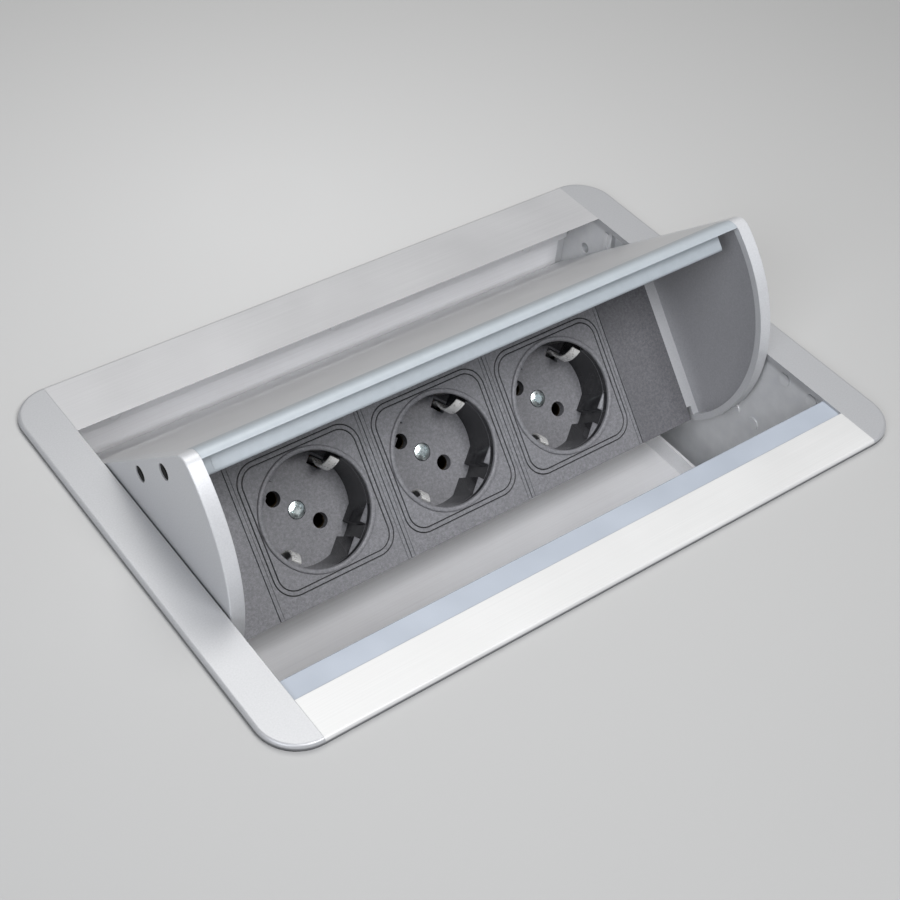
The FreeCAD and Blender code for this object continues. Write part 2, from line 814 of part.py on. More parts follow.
rail_screws = keep(group([
    headed("X", (way * port_y, port_z), side * wall_outer, side * (wall_outer - rail_screw_length))
    for side in (-1, 1) for way in (-1, 1)]), "rail_screws")

trough_screws = keep(group([
    headed("Y", (x, trough_screw_z), way * (rail_web_inner - screw_head_height), way * tub_half)
    for way in (-1, 1) for x in trough_screw_places]), "trough_screws")


# Pivots: a headed pin through each end wall runs in a flanged bush in the cheek

def pivot_pin(label, side):
    pivot = (pivot_y, pivot_z)
    head = rod("X", pivot, side * wall_outer, side * (wall_outer - pin_head_thickness), pin_head)
    shank = rod("X", pivot, side * (wall_outer - pin_head_thickness),
                side * (wall_inner - pin_reach), pin_diameter)
    return keep(fused(head, shank), label)


left_pivot_pin = pivot_pin("left_pivot_pin", -1)
right_pivot_pin = pivot_pin("right_pivot_pin", 1)


def pivot_bush(label, side):
    pivot = (pivot_y, pivot_z)
    inner_end = side * strip_end
    flange_face = side * (cheek_outer + bush_flange_thickness)
    sleeve = rod("X", pivot, inner_end, side * cheek_outer, bush_outer)
    flange = rod("X", pivot, side * cheek_outer, flange_face, bush_flange)
    bore = rod("X", pivot, inner_end - side * PAST, flange_face + side * PAST, bush_bore)
    return keep(cut(fused(sleeve, flange), bore), label, OPEN)


left_pivot_bush = pivot_bush("left_pivot_bush", -1)
right_pivot_bush = pivot_bush("right_pivot_bush", 1)


# Torsion springs: four turns of wire round each pin's inner end, with a straight leg each end

spring_turns = 4


def torsion_spring(label, side):
    mean = number(spring_radius)
    half_pitch = number(spring_pitch) / 2
    start_x = number(strip_end) - number(housing_wall) - number(spring_wire)
    centre_y = number(pivot_y)
    centre_z = number(pivot_z)

    def on_coil(half_turns):
        angle = math.pi * half_turns
        return Vector(side * (start_x - half_pitch * half_turns),
                      centre_y + mean * math.cos(angle),
                      centre_z + mean * math.sin(angle))

    first = on_coil(0)
    last = on_coil(2 * spring_turns)
    leg = number(spring_leg)
    edges = [Part.LineSegment(first - Vector(0, 0, leg), first).toShape()]
    for turn in range(2 * spring_turns):
        bend = Part.Arc(on_coil(turn), on_coil(turn + 0.5), on_coil(turn + 1))
        edges.append(bend.toShape())
    edges.append(Part.LineSegment(last, last + Vector(0, 0, leg)).toShape())
    path = Part.Wire(edges)
    wire_ring = Part.Circle(edges[0].Vertexes[0].Point, Vector(0, 0, 1), number(spring_wire) / 2)
    tube = path.makePipeShell([Part.Wire([wire_ring.toShape()])], True, False)
    spring = doc.addObject("Part::Feature", label)
    spring.Shape = tube
    print(label, "least gap between turns", round(number(spring_pitch) - number(spring_wire), 3),
          "volume over section times length",
          round(tube.Volume / (math.pi * (number(spring_wire) / 2) ** 2 * path.Length), 4))
    return keep(spring, label)


left_torsion_spring = torsion_spring("left_torsion_spring", -1)
right_torsion_spring = torsion_spring("right_torsion_spring", 1)


# Cheeks: D-shaped end plates of the carrier, dished inside, with a thick seat for the strip

def cheek(label, side):
    body = new_body(label, OPEN)
    tangent_y = corner_y * front_radius / corner_reach
    tangent_z = front_centre_z + corner_rise * front_radius / corner_reach
    shape = sketch_on(body, "YZ", side * cheek_inner)
    outline(shape, [
        line_to(corner_y, unit_height),
        arc_to(corner_y, corner_z, tangent_y, tangent_z, "x"),
        arc_to(0, front_centre_z, 0, cheek_bottom, "x"),
        line_to(pivot_y, cheek_bottom),
        arc_to(pivot_y, pivot_z, lid_rear, pivot_z, "y"),
        line_to(lid_rear, unit_height)])
    pad(body, shape, cheek_thickness, side > 0)
    dish_reach = front_radius - cheek_rim
    dish_y = corner_y * dish_reach / corner_reach
    dish_z = front_centre_z + corner_rise * dish_reach / corner_reach
    dish = sketch_on(body, "YZ", side * cheek_inner)
    outline(dish, [
        line_to(corner_y, unit_height - cheek_rim),
        arc_to(corner_y, corner_z, dish_y, dish_z, "x"),
        arc_to(0, front_centre_z, 0, cheek_bottom + cheek_rim, "x"),
        line_to(face_y, cheek_bottom + cheek_rim),
        line_to(face_y, unit_height - cheek_rim)])
    pocket(body, dish, cheek_thickness - cheek_floor, side > 0)
    seat = sketch_on(body, "YZ", side * cheek_inner)
    seat_bottom = floor_top + floor_lip_height + lip_clearance
    rectangle(seat, face_y, face_y + cheek_seat_depth, seat_bottom, lid_underside - fixed_gap)
    pad(body, seat, strip_end_gap, side < 0)
    boss = sketch_on(body, "YZ", side * cheek_inner)
    circle(boss, pivot_y, pivot_z, pivot_boss)
    pad(body, boss, strip_end_gap, side < 0)
    lugs = sketch_on(body, "YZ", side * cheek_inner)
    for y in lid_screw_places:
        circle(lugs, y, screw_port_z, lug_diameter)
    pad(body, lugs, cheek_thickness - cheek_floor, side > 0)
    heads = sketch_on(body, "YZ", side * cheek_outer)
    for y in lid_screw_places:
        circle(heads, y, screw_port_z, head_pocket)
    for z in housing_screw_places:
        circle(heads, housing_screw_y, z, head_pocket)
    pocket(body, heads, head_sink, side < 0)
    holes = sketch_on(body, "YZ", side * strip_end)
    for y in lid_screw_places:
        circle(holes, y, screw_port_z, screw_clearance)
    for z in housing_screw_places:
        circle(holes, housing_screw_y, z, screw_clearance)
    circle(holes, pivot_y, pivot_z, bush_outer + 2 * fixed_gap)
    pocket(body, holes, cheek_thickness + strip_end_gap, side > 0)

    def front_rim(edge):
        """Both edges of the curved rim and of its front top corner."""
        box = edge.BoundBox
        on_side = box.XLength < 0.01
        outer = abs(abs(box.Center.x) - number(cheek_outer)) < 0.01
        ahead = box.YMin < number(corner_y) + number(cheek_corner)
        return on_side and outer and ahead and edge.Curve.TypeId == "Part::GeomCircle"

    round_edges(body, rim_edge_round, front_rim)
    return body


left_cheek = cheek("left_cheek", -1)
right_cheek = cheek("right_cheek", 1)


# Lid: one extrusion with a round nose, a flange under it and two screw ports underneath

def lid():
    body = new_body("lid_panel", OPEN)
    section = sketch_on(body, "YZ", -cheek_inner)
    nose_z = unit_height - nose_radius
    lip_z = unit_height - nose_lip
    nose_tip_y = nose_flat_y - root(nose_radius * nose_radius - (lip_z - nose_z) * (lip_z - nose_z))
    flange_front = nose_flat_y + flange_setback
    flange_back = flange_front + flange_thickness
    outline(section, [
        line_to(nose_flat_y, unit_height),
        arc_to(nose_flat_y, nose_z, nose_tip_y, lip_z, "y"),
        line_to(flange_front, lip_z),
        line_to(flange_back, lid_underside),
        line_to(lid_rear, lid_underside),
        line_to(lid_rear, unit_height)])
    pad(body, section, 2 * cheek_inner)
    flange_end = cheek_inner - flange_end_gap
    flange = sketch_on(body, "YZ", -flange_end)
    flange_low = unit_height - flange_drop
    half = flange_thickness / 2
    outline(flange, [
        line_to(flange_front, flange_low + half),
        arc_to(flange_front + half, flange_low + half, flange_front + half, flange_low, "x"),
        arc_to(flange_front + half, flange_low + half, flange_back, flange_low + half, "y"),
        line_to(flange_back, lid_underside + half),
        line_to(flange_front, lid_underside + half)])
    pad(body, flange, 2 * flange_end)
    ports = sketch_on(body, "YZ", -cheek_inner)
    for y in lid_screw_places:
        circle(ports, y, screw_port_z, port_diameter)
    pad(body, ports, 2 * cheek_inner)
    bores = sketch_on(body, "YZ", -cheek_inner)
    for y in lid_screw_places:
        circle(bores, y, screw_port_z, port_bore)
    pocket(body, bores, 2 * cheek_inner)
    return body


lid_panel = lid()

cheek_screws = keep(group([
    headed("X", (y, screw_port_z), side * head_face, side * (head_face - cheek_screw_length))
    for side in (-1, 1) for y in lid_screw_places]), "cheek_screws", OPEN)


# Socket strip: a plain piece at each end and three plates between them

def end_piece(label, side):
    body = new_body(label, OPEN)
    face = sketch_on(body, "XZ", face_y)
    near = side * (module_pitch * 1.5 + seam_gap / 2)
    far = side * strip_end
    rectangle(face, near, far, strip_bottom, strip_top)
    pad(body, face, plate_thickness)
    return body


left_end_piece = end_piece("left_end_piece", -1)
right_blank_piece = end_piece("right_blank_piece", 1)


def socket_plate(label, x):
    body = new_body(label, OPEN + " * " + shifted(x, 0, 0))
    half = (module_pitch - seam_gap) / 2
    face = sketch_on(body, "XZ", face_y)
    rectangle(face, -half, half, strip_bottom, strip_top)
    circle(face, 0, socket_z, 2 * (insert_radius + insert_gap))
    pad(body, face, plate_thickness)
    frame = frame_side / 2
    for inset in (0, frame_border):
        groove = sketch_on(body, "XZ", face_y)
        for reach in (frame - inset, frame - inset - groove_width):
            rounded_rectangle(groove, -reach, reach, socket_z - reach, socket_z + reach,
                              frame_corner - (frame - reach))
        pocket(body, groove, groove_depth)
    lines = sketch_on(body, "XZ", face_y)
    outer_edge = half - edge_line_inset
    inner_edge = outer_edge - edge_line_width
    rectangle(lines, -outer_edge, -inner_edge, strip_bottom - PAST, strip_top + PAST)
    rectangle(lines, inner_edge, outer_edge, strip_bottom - PAST, strip_top + PAST)
    pocket(body, lines, groove_depth / 2)
    return body


def socket_ring(label, x):
    """One socket's rim and wall with its plug guides; the pin line is X and the mouth faces -Y."""
    body = new_body(label, socket_place(x))
    ring = sketch_on(body, "XZ", -insert_proud)
    circle(ring, 0, 0, 2 * insert_radius)
    circle(ring, 0, 0, recess_diameter)
    pad(body, ring, recess_depth)

    def rim(edge):
        return edge.BoundBox.YMax < number(-insert_proud) + 0.01

    round_edges(body, insert_rim_round, rim)
    guides = sketch_on(body, "XZ", guide_sunk)
    flat = guide_flat / 2
    slot = guide_slot / 2
    wall = insert_radius - insert_rim / 2
    reach_z = root(wall * wall - flat * flat)
    reach_x = root(wall * wall - slot * slot)
    for way in (-1, 1):
        for up in (-1, 1):
            turn = way * up
            outline(guides, [
                line_to(way * flat, up * slot),
                line_to(way * reach_x, up * slot),
                arc_to(0, 0, way * flat, up * reach_z, "x", turn)])
    pad(body, guides, recess_floor - guide_sunk)
    return body


def socket_base(label, x):
    """The floor of one socket's well, and the block behind it that holds the contacts."""
    body = new_body(label, socket_place(x))
    floor = sketch_on(body, "XZ", recess_floor)
    circle(floor, 0, 0, 2 * insert_radius)
    pad(body, floor, insert_floor)
    block_face = sketch_on(body, "XZ", insert_back)
    rounded_rectangle(block_face, -block_half_x, block_half_x, -block_half_z, block_half_z,
                      block_corner)
    pad(body, block_face, block_depth)
    holes = sketch_on(body, "XZ", recess_floor)
    for way in (-1, 1):
        circle(holes, way * pin_spacing / 2, 0, pin_hole)
    circle(holes, 0, 0, screw_hole)
    pocket(body, holes, insert_floor + block_depth)
    chambers = sketch_on(body, "XZ", insert_back)
    for way in (-1, 1):
        circle(chambers, way * pin_spacing / 2, 0, sleeve_outer + 2 * insert_gap)
    pocket(body, chambers, block_depth)
    sunk = sketch_on(body, "XZ", recess_floor)
    circle(sunk, 0, 0, centre_head + 2 * centre_head_gap)
    pocket(body, sunk, centre_sink)
    windows = sketch_on(body, "XZ", recess_floor)
    half = clip_width / 2 + clip_gap
    for way in (-1, 1):
        low = way * (clip_radius - window_inwards)
        high = way * (recess_diameter / 2)
        rectangle(windows, -half, half, low, high)
    pocket(body, windows, insert_floor)
    return body


def contact_pair(label, x):
    """Two brass sleeves, each with a flat tail that meets its busbar."""
    pieces = []
    for way in (-1, 1):
        place = (way * pin_spacing / 2, 0)
        end = insert_back + sleeve_length
        tube = cut(rod("Y", place, insert_back, end, sleeve_outer),
                   rod("Y", place, insert_back - PAST, end - sleeve_base, sleeve_bore))
        half = tail_width / 2
        centre = way * pin_spacing / 2
        tail = block((centre - half, centre + half), (end, tail_end),
                     (-busbar_thickness / 2, busbar_thickness / 2))
        pieces.append(fused(tube, tail))
    return keep(group(pieces), label, socket_place(x))


def earth_clip(label, x):
    """A U of sprung strip: two tongues in the well joined by a bar behind the socket's block."""
    half = clip_width / 2
    outer = clip_radius + clip_thickness / 2
    inner = clip_radius - clip_thickness / 2
    bar_back = block_back + clip_thickness
    bar = cut(block((-half, half), (block_back, bar_back), (-outer, outer)),
              rod("Y", (0, 0), block_back - PAST, bar_back + PAST, screw_hole))
    upper = block((-half, half), (clip_top, bar_back), (inner, outer))
    lower = block((-half, half), (clip_top, bar_back), (-outer, -inner))
    return keep(fused(bar, upper, lower), label, socket_place(x))


def centre_screw(label, x):
    """The socket's fixing screw, with a crossed slot in its round head."""
    face = recess_floor + centre_sink - centre_head_height
    tip = face + centre_screw_length
    shape = headed("Y", (0, 0), face, tip, centre_head_height, centre_head)
    half_long = cross_slot_length / 2
    half_wide = cross_slot_width / 2
    deep = (face - PAST, face + cross_slot_depth)
    across = block((-half_long, half_long), deep, (-half_wide, half_wide))
    along = block((-half_wide, half_wide), deep, (-half_long, half_long))
    return keep(cut(shape, across, along), label, socket_place(x))


for index, place in enumerate(module_places):
    number_text = "_%d" % (index + 1)
    socket_plate("socket_plate" + number_text, place)
    socket_ring("socket_ring" + number_text, place)
    socket_base("socket_base" + number_text, place)
    contact_pair("pin_contacts" + number_text, place)
    earth_clip("earth_clip" + number_text, place)
    centre_screw("centre_screw" + number_text, place)


# Rear housing: a tray behind the plates, with a post for each socket screw

def housing_tray():
    body = new_body("rear_housing", OPEN)
    shell = sketch_on(body, "YZ", -strip_end)
    corner = housing_corner
    outline(shell, [
        line_to(plate_back, strip_bottom),
        line_to(housing_back - corner, strip_bottom),
        arc_to(housing_back - corner, strip_bottom + corner, housing_back, strip_bottom + corner, "y"),
        line_to(housing_back, strip_top - corner),
        arc_to(housing_back - corner, strip_top - corner, housing_back - corner, strip_top, "x"),
        line_to(plate_back, strip_top)])
    pad(body, shell, 2 * strip_end)
    hollow = sketch_on(body, "YZ", -strip_end + housing_wall)
    inner = housing_inner
    bend = corner - housing_wall
    low = strip_bottom + housing_wall
    high = strip_top - housing_wall
    outline(hollow, [
        line_to(plate_back, low),
        line_to(inner - bend, low),
        arc_to(inner - bend, low + bend, inner, low + bend, "y"),
        line_to(inner, high - bend),
        arc_to(inner - bend, high - bend, inner - bend, high, "x"),
        line_to(plate_back, high)])
    pocket(body, hollow, 2 * (strip_end - housing_wall))
    posts = sketch_on(body, "XZ", inner)
    for x in module_places:
        circle(posts, x, socket_z, post_diameter)
    post_face = face_y + block_back + clip_thickness
    pad(body, posts, inner - post_face, False)
    lugs = sketch_on(body, "YZ", -strip_end + housing_wall)
    for z in housing_screw_places:
        circle(lugs, housing_screw_y, z, lug_diameter)
    pad(body, lugs, housing_lug_length)
    far_lugs = sketch_on(body, "YZ", strip_end - housing_wall)
    for z in housing_screw_places:
        circle(far_lugs, housing_screw_y, z, lug_diameter)
    pad(body, far_lugs, housing_lug_length, False)
    post_holes = sketch_on(body, "XZ", post_face)
    for x in module_places:
        circle(post_holes, x, socket_z, screw_shank + 2 * insert_gap)
    pocket(body, post_holes, inner - post_face)
    side_holes = sketch_on(body, "YZ", -strip_end)
    for z in housing_screw_places:
        circle(side_holes, housing_screw_y, z, screw_shank + 2 * insert_gap)
    circle(side_holes, pivot_y, pivot_z, pivot_opening)
    pocket(body, side_holes, 2 * strip_end)
    inlet = sketch_on(body, "XZ", inner)
    circle(inlet, inlet_x, inlet_z, inlet_waist)
    pocket(body, inlet, housing_wall)
    return body


rear_housing = housing_tray()

housing_screws = keep(group([
    headed("X", (housing_screw_y, z), side * head_face, side * (head_face - housing_screw_length))
    for side in (-1, 1) for z in housing_screw_places]), "housing_screws", OPEN)


# Wiring inside the housing: three busbars that end in a terminal block

live_offset = pin_spacing / 2 * sine(pin_line_angle)
bar_front = face_y + tail_end
terminal_right = -module_pitch - terminal_offset
terminal_left = terminal_right - terminal_width
terminal_middle = terminal_left + terminal_width / 2
terminal_front = housing_inner - terminal_depth
busbar_end = module_pitch + busbar_past


def busbar(label, low_z, front):
    bar = block((terminal_right, busbar_end), (front, front + busbar_thickness),
                (low_z, low_z + busbar_width))
    return keep(bar, label, OPEN + " * " + shifted(terminal_right, front, low_z))


live_busbar = busbar("live_busbar", socket_z + live_offset - busbar_width / 2, bar_front)
neutral_busbar = busbar("neutral_busbar", socket_z - live_offset - busbar_width / 2, bar_front)
earth_front = face_y + block_back + clip_thickness
earth_low = socket_z + (clip_radius - clip_thickness) * sine(pin_line_angle) - busbar_width / 2
earth_busbar = busbar("earth_busbar", earth_low, earth_front)

screw_rows = [socket_z - live_offset, socket_z + live_offset, earth_low + busbar_width / 2]
terminal_body = block((terminal_left, terminal_right), (terminal_front, housing_inner),
                      (terminal_low, terminal_high))
terminal_holes = [rod("Y", (terminal_middle, z), terminal_front - PAST,
                      terminal_front + terminal_sink, terminal_head + 2 * insert_gap)
                  for z in screw_rows]
wire_entries = [rod("X", (terminal_front + terminal_depth / 2, z), terminal_left - PAST,
                    terminal_left + terminal_width / 3, wire_entry) for z in screw_rows]
terminal_block = keep(cut(terminal_body, *(terminal_holes + wire_entries)), "terminal_block", OPEN)
terminal_screws = keep(group([
    rod("Y", (terminal_middle, z), terminal_front + terminal_recess,
        terminal_front + terminal_sink, terminal_head)
    for z in screw_rows]), "terminal_screws", OPEN)


# Cord inlets: a rubber grommet in the tub's rear wall and one in the housing

def grommet(label, place, wall_start, wall, waist, flange, placement=None):
    """A grommet along Y whose waist fills a round hole in a wall."""
    inside_end = wall_start - grommet_lip
    wall_face = wall_start + wall
    outside_end = wall_face + grommet_outside
    shape = fused(rod("Y", place, inside_end, wall_start, flange),
                  rod("Y", place, wall_start, wall_face, waist),
                  rod("Y", place, wall_face, outside_end, flange))
    bore = rod("Y", place, inside_end - PAST, outside_end + PAST, grommet_bore)
    return keep(cut(shape, bore), label, placement)


cord_grommet = grommet("cord_grommet", (cord_x, cord_z), tub_inside, sheet_thickness,
                       grommet_waist, grommet_flange)
housing_grommet = grommet("housing_grommet", (inlet_x, inlet_z), housing_inner, housing_wall,
                          inlet_waist, inlet_flange, OPEN)


# Cord clamp on the trough's floor: a base and a saddle with a round bed between them

clamp_back = tub_inside - clamp_inset
clamp_front = clamp_back - clamp_length
clamp_middle = clamp_back - clamp_length / 2
clamp_span = (cord_x - clamp_width / 2, cord_x + clamp_width / 2)
saddle_low = floor_top + clamp_base
bed_z = saddle_low - clamp_bed + grommet_bore / 2
saddle_top = bed_z + grommet_bore / 2 + clamp_roof
clamp_screw_places = (cord_x - clamp_screw_offset, cord_x + clamp_screw_offset)


def clamp_piece(label, low, high, bore):
    """One half of the clamp, cut by the cord's bed and bored for two screws."""
    bed = rod("Y", (cord_x, bed_z), clamp_front - PAST, clamp_back + PAST, grommet_bore)
    bores = [rod("Z", (x, clamp_middle), low - PAST, high + PAST, bore) for x in clamp_screw_places]
    return keep(cut(block(clamp_span, (clamp_front, clamp_back), (low, high)), bed, *bores), label)


cord_clamp_base = clamp_piece("cord_clamp_base", floor_top, saddle_low, screw_shank + 2 * fixed_gap)
cord_clamp_saddle = clamp_piece("cord_clamp_saddle", saddle_low, saddle_top, screw_clearance)
clamp_screws = keep(group([
    headed("Z", (x, clamp_middle), saddle_top + screw_head_height, floor_top)
    for x in clamp_screw_places]), "clamp_screws")


# Touch latch on the rear wall: a sprung plunger meets a plate on the housing when closed

striker_face = housing_back + striker_thickness
latch_front = tub_inside - latch_reach
tip_y = striker_face + latch_tip_gap
plunger_end = tip_y + plunger_length
latch_bore_end = plunger_end + plunger_travel + latch_bore_spare
latch_low = latch_z - latch_height / 2
latch_solid = fused(
    block((-latch_width / 2, latch_width / 2), (latch_front, tub_inside),
          (latch_low, latch_low + latch_height)),
    block((-latch_flange_width / 2, latch_flange_width / 2), (tub_inside - latch_flange, tub_inside),
          (latch_low, latch_low + latch_height)))
latch_cuts = [rod("Y", (0, latch_z), latch_front - PAST, latch_bore_end,
                  plunger_diameter + 2 * running_gap)]
latch_cuts += [rod("Y", (way * latch_screw_x, latch_z), tub_inside - latch_flange - PAST,
                   tub_inside + PAST, screw_shank + 2 * fixed_gap) for way in (-1, 1)]
latch_body = keep(cut(latch_solid, *latch_cuts), "latch_body")
latch_plunger = keep(fused(
    rod("Y", (0, latch_z), tip_y, plunger_end, plunger_diameter),
    rod("Y", (0, latch_z), tip_y, tip_y + plunger_collar_length, plunger_collar)), "latch_plunger")
latch_screws = keep(group([
    headed("Y", (way * latch_screw_x, latch_z), tub_inside - latch_flange - screw_head_height,
           tub_half) for way in (-1, 1)]), "latch_screws")
striker_low = latch_z - striker_height / 2
latch_striker = keep(block((-striker_width / 2, striker_width / 2), (housing_back, striker_face),
                           (striker_low, striker_low + striker_height)), "latch_striker",
                     OPEN + " * " + shifted(-striker_width / 2, housing_back, striker_low))


# Rubber stops: one pair under the open lid's rear edge, one pair under the closed cheeks

corner_back = lid_rear - pivot_y
corner_up = lid_underside - pivot_z
open_corner_z = pivot_z - sine(open_angle) * corner_back + cosine(open_angle) * corner_up
stop_top = open_corner_z - stop_gap
open_stops = keep(group([
    block((way * stop_x - stop_width / 2, way * stop_x + stop_width / 2),
          (tub_inside - stop_depth, tub_inside), (stop_top - stop_height, stop_top))
    for way in (-1, 1)]), "open_stops")

pad_centre = (cheek_inner + cheek_outer) / 2
pad_top = front_centre_z - root(front_radius * front_radius - pad_near * pad_near) - stop_gap
closing_pads = keep(group([
    block((side * pad_centre - pad_width / 2, side * pad_centre + pad_width / 2),
          (pad_far, pad_near), (shelf_thickness, pad_top))
    for side in (-1, 1)]), "closing_pads")


# Build, check every object and write one file for each sub-part

doc.recompute()
faults = []
for thing in doc.Objects:
    if "Invalid" in thing.State or "Error" in thing.State:
        faults.append("%s %s %s" % (thing.Name, thing.Label, thing.State))
for part in parts:
    shape = part.Shape
    if shape.isNull() or not shape.isValid() or shape.Volume <= 0:
        faults.append("%s has no sound shape" % part.Label)
if faults:
    raise RuntimeError("; ".join(faults))

os.makedirs("parts", exist_ok=True)
for part in parts:
    part.Shape.exportStep("parts/%s.step" % part.Label)
    print("%-22s solids %d volume %.1f mm3" % (part.Label, len(part.Shape.Solids), part.Shape.Volume))
print("sub-parts", len(parts))
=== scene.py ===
# %% [markdown]
# # A desk power unit, dressed for its photograph
#
# The real object is a power unit that is let into a desk top. A rectangular bezel lies on the desk,
# a tub hangs under it, and a carrier with three round mains sockets tilts up out of the tub. The solid
# model comes from CAD as a fixed frame, so this lesson is about what CAD leaves out: the camera, the
# light, the finishes, and the small forms that a moulding or a casting has.

# %% Load the frame
import math

import bmesh
import bpy
from mathutils import Matrix, Vector


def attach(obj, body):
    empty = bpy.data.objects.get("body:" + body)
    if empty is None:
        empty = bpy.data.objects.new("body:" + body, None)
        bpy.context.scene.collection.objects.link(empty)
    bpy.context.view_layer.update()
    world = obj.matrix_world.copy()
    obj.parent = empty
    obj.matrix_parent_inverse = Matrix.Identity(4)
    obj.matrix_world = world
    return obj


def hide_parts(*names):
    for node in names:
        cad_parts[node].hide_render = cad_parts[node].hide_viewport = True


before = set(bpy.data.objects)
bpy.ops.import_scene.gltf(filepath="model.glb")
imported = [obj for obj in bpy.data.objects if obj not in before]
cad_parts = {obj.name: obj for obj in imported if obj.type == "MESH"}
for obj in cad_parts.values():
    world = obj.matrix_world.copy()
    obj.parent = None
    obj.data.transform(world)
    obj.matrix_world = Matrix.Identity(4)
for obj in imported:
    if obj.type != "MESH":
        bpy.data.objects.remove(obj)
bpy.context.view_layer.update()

MM = 0.001

# %% [markdown]
# ## The camera
#
# The photograph was taken from the front left, a good half metre away, looking down by 44 degrees. Where
# the camera stood can be worked out from the bezel, because its edges are straight and its size is
# known: eight edge lines fix the focal length, the direction and the distance at once. A guess by eye
# would leave every later comparison in doubt, so the fitted numbers are used as they are.

# %% Camera
IMAGE_SIDE = 900            # the photograph is square, in pixels
BEZEL_TOP = 0.077
FOCAL_PIXELS = 1661.67
SENSOR_MM = 36.0
CAMERA_AT = Vector((-0.2664, -0.3088, 0.4544))
AZIMUTH, ELEVATION, ROLL = (math.radians(v) for v in (-40.3566, 44.0573, -5.5994))


def put(name, data):
    """A new object in the scene, at the origin and unturned."""
    made = bpy.data.objects.new(name, data)
    bpy.context.scene.collection.objects.link(made)
    return made


forward = Vector((-math.sin(AZIMUTH) * math.cos(ELEVATION),
                  math.cos(AZIMUTH) * math.cos(ELEVATION),
                  -math.sin(ELEVATION)))
right = forward.cross(Vector((0, 0, 1))).normalized()
down = forward.cross(right)
right_rolled = right * math.cos(ROLL) + down * math.sin(ROLL)
down_rolled = down * math.cos(ROLL) - right * math.sin(ROLL)

camera_data = bpy.data.cameras.new("camera")
camera_data.sensor_width = SENSOR_MM
camera_data.lens = FOCAL_PIXELS / IMAGE_SIDE * SENSOR_MM
camera_data.clip_start = 0.01
camera = put("camera", camera_data)
turn = Matrix((right_rolled, -down_rolled, -forward)).transposed().to_4x4()
camera.matrix_world = Matrix.Translation(CAMERA_AT) @ turn
bpy.context.scene.camera = camera
bpy.context.scene.view_settings.view_transform = "Standard"
print("lens", round(camera_data.lens, 2), "mm, distance to the bezel's middle",
      round((CAMERA_AT - Vector((0, 0, BEZEL_TOP))).length, 3), "m")

# %% [markdown]
# ## Small helpers for materials
#
# A colour is written as a maker would read it from a chart, as an sRGB hex value, and one function
# turns it into the linear numbers that a shader works with. A second function adds one node with its
# settings and its links. With these two, a material reads from top to bottom like a recipe. The others
# start a finish, lay one tone over another where a mask is 1, and dress CAD nodes in a finish.

# %% Colour and node helpers


def linear(hex_colour):
    """An sRGB colour such as "b4b5b7" as linear RGBA."""
    parts = [int(hex_colour[i:i + 2], 16) / 255.0 for i in (0, 2, 4)]
    return [c / 12.92 if c <= 0.04045 else ((c + 0.055) / 1.055) ** 2.4 for c in parts] + [1.0]


def add(tree, kind, inputs=None, stops=None, **settings):
    """Adds one node. An input is a value, a socket, or a node whose first output is meant."""
    made = tree.nodes.new(kind if "Node" in kind else "ShaderNode" + kind)
    for name, value in settings.items():
        setattr(made, name, value)
    for name, value in (inputs or {}).items():
        socket = next(s for s in made.inputs if name in (s.identifier, s.name))
        if isinstance(value, bpy.types.Node):
            value = next(output for output in value.outputs if output.enabled)
        if isinstance(value, bpy.types.NodeSocket):
            tree.links.new(value, socket)
        else:
            socket.default_value = value
    if stops:
        ramp = made.color_ramp.elements
        for position, hex_colour in stops:
            ramp.new(position).color = linear(hex_colour)
        ramp.remove(ramp[0])
        ramp.remove(ramp[-1])
    return made


def new_finish(name, **shader):
    """A material with one Principled shader; gives back the material, its tree and its shader."""
    material = bpy.data.materials.new(name)
    material.use_nodes = True
    surface = material.node_tree.nodes["Principled BSDF"]
    for socket, value in shader.items():
        surface.inputs[socket.replace("_", " ")].default_value = value
    return material, material.node_tree, surface


def lay_over(tree, mask, tone):
    """Lays a tone over the colour that a finish has so far, where the mask is 1."""
    base = tree.nodes["Principled BSDF"].inputs["Base Color"]
    mixed = add(tree, "Mix", {"Factor": mask, "A_Color": base.links[0].from_socket, "B_Color": tone},
                data_type="RGBA")
    tree.links.new(mixed.outputs[2], base)


def wear(material, *node_names):
    """Gives CAD nodes a material on every slot."""
    for name in node_names:
        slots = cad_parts[name].data.materials
        slots.clear()
        slots.append(material)
    print(material.name, "on", ", ".join(node_names))


print("mid grey 808080 is", [round(v, 3) for v in linear("808080")])


# %% [markdown]
# ## The lower edge of the bezel
#
# The upright outer face of the bezel is 2.2 mm high. Towards the desk it lies in its own shade, so one
# function paints that shade into the colour there, as a darker tone, for every finish of the bezel. How
# near a point is to the outline is measured as for a rectangle with round corners.

# %% Painted shade on the lower edge
BEZEL_X, BEZEL_Y, BEZEL_CORNER = 125.0, 85.0, 14.0
EDGE_LOW, EDGE_HIGH = 75.4, 76.0
EDGE_SHADE_TONE = "6b6c6e"


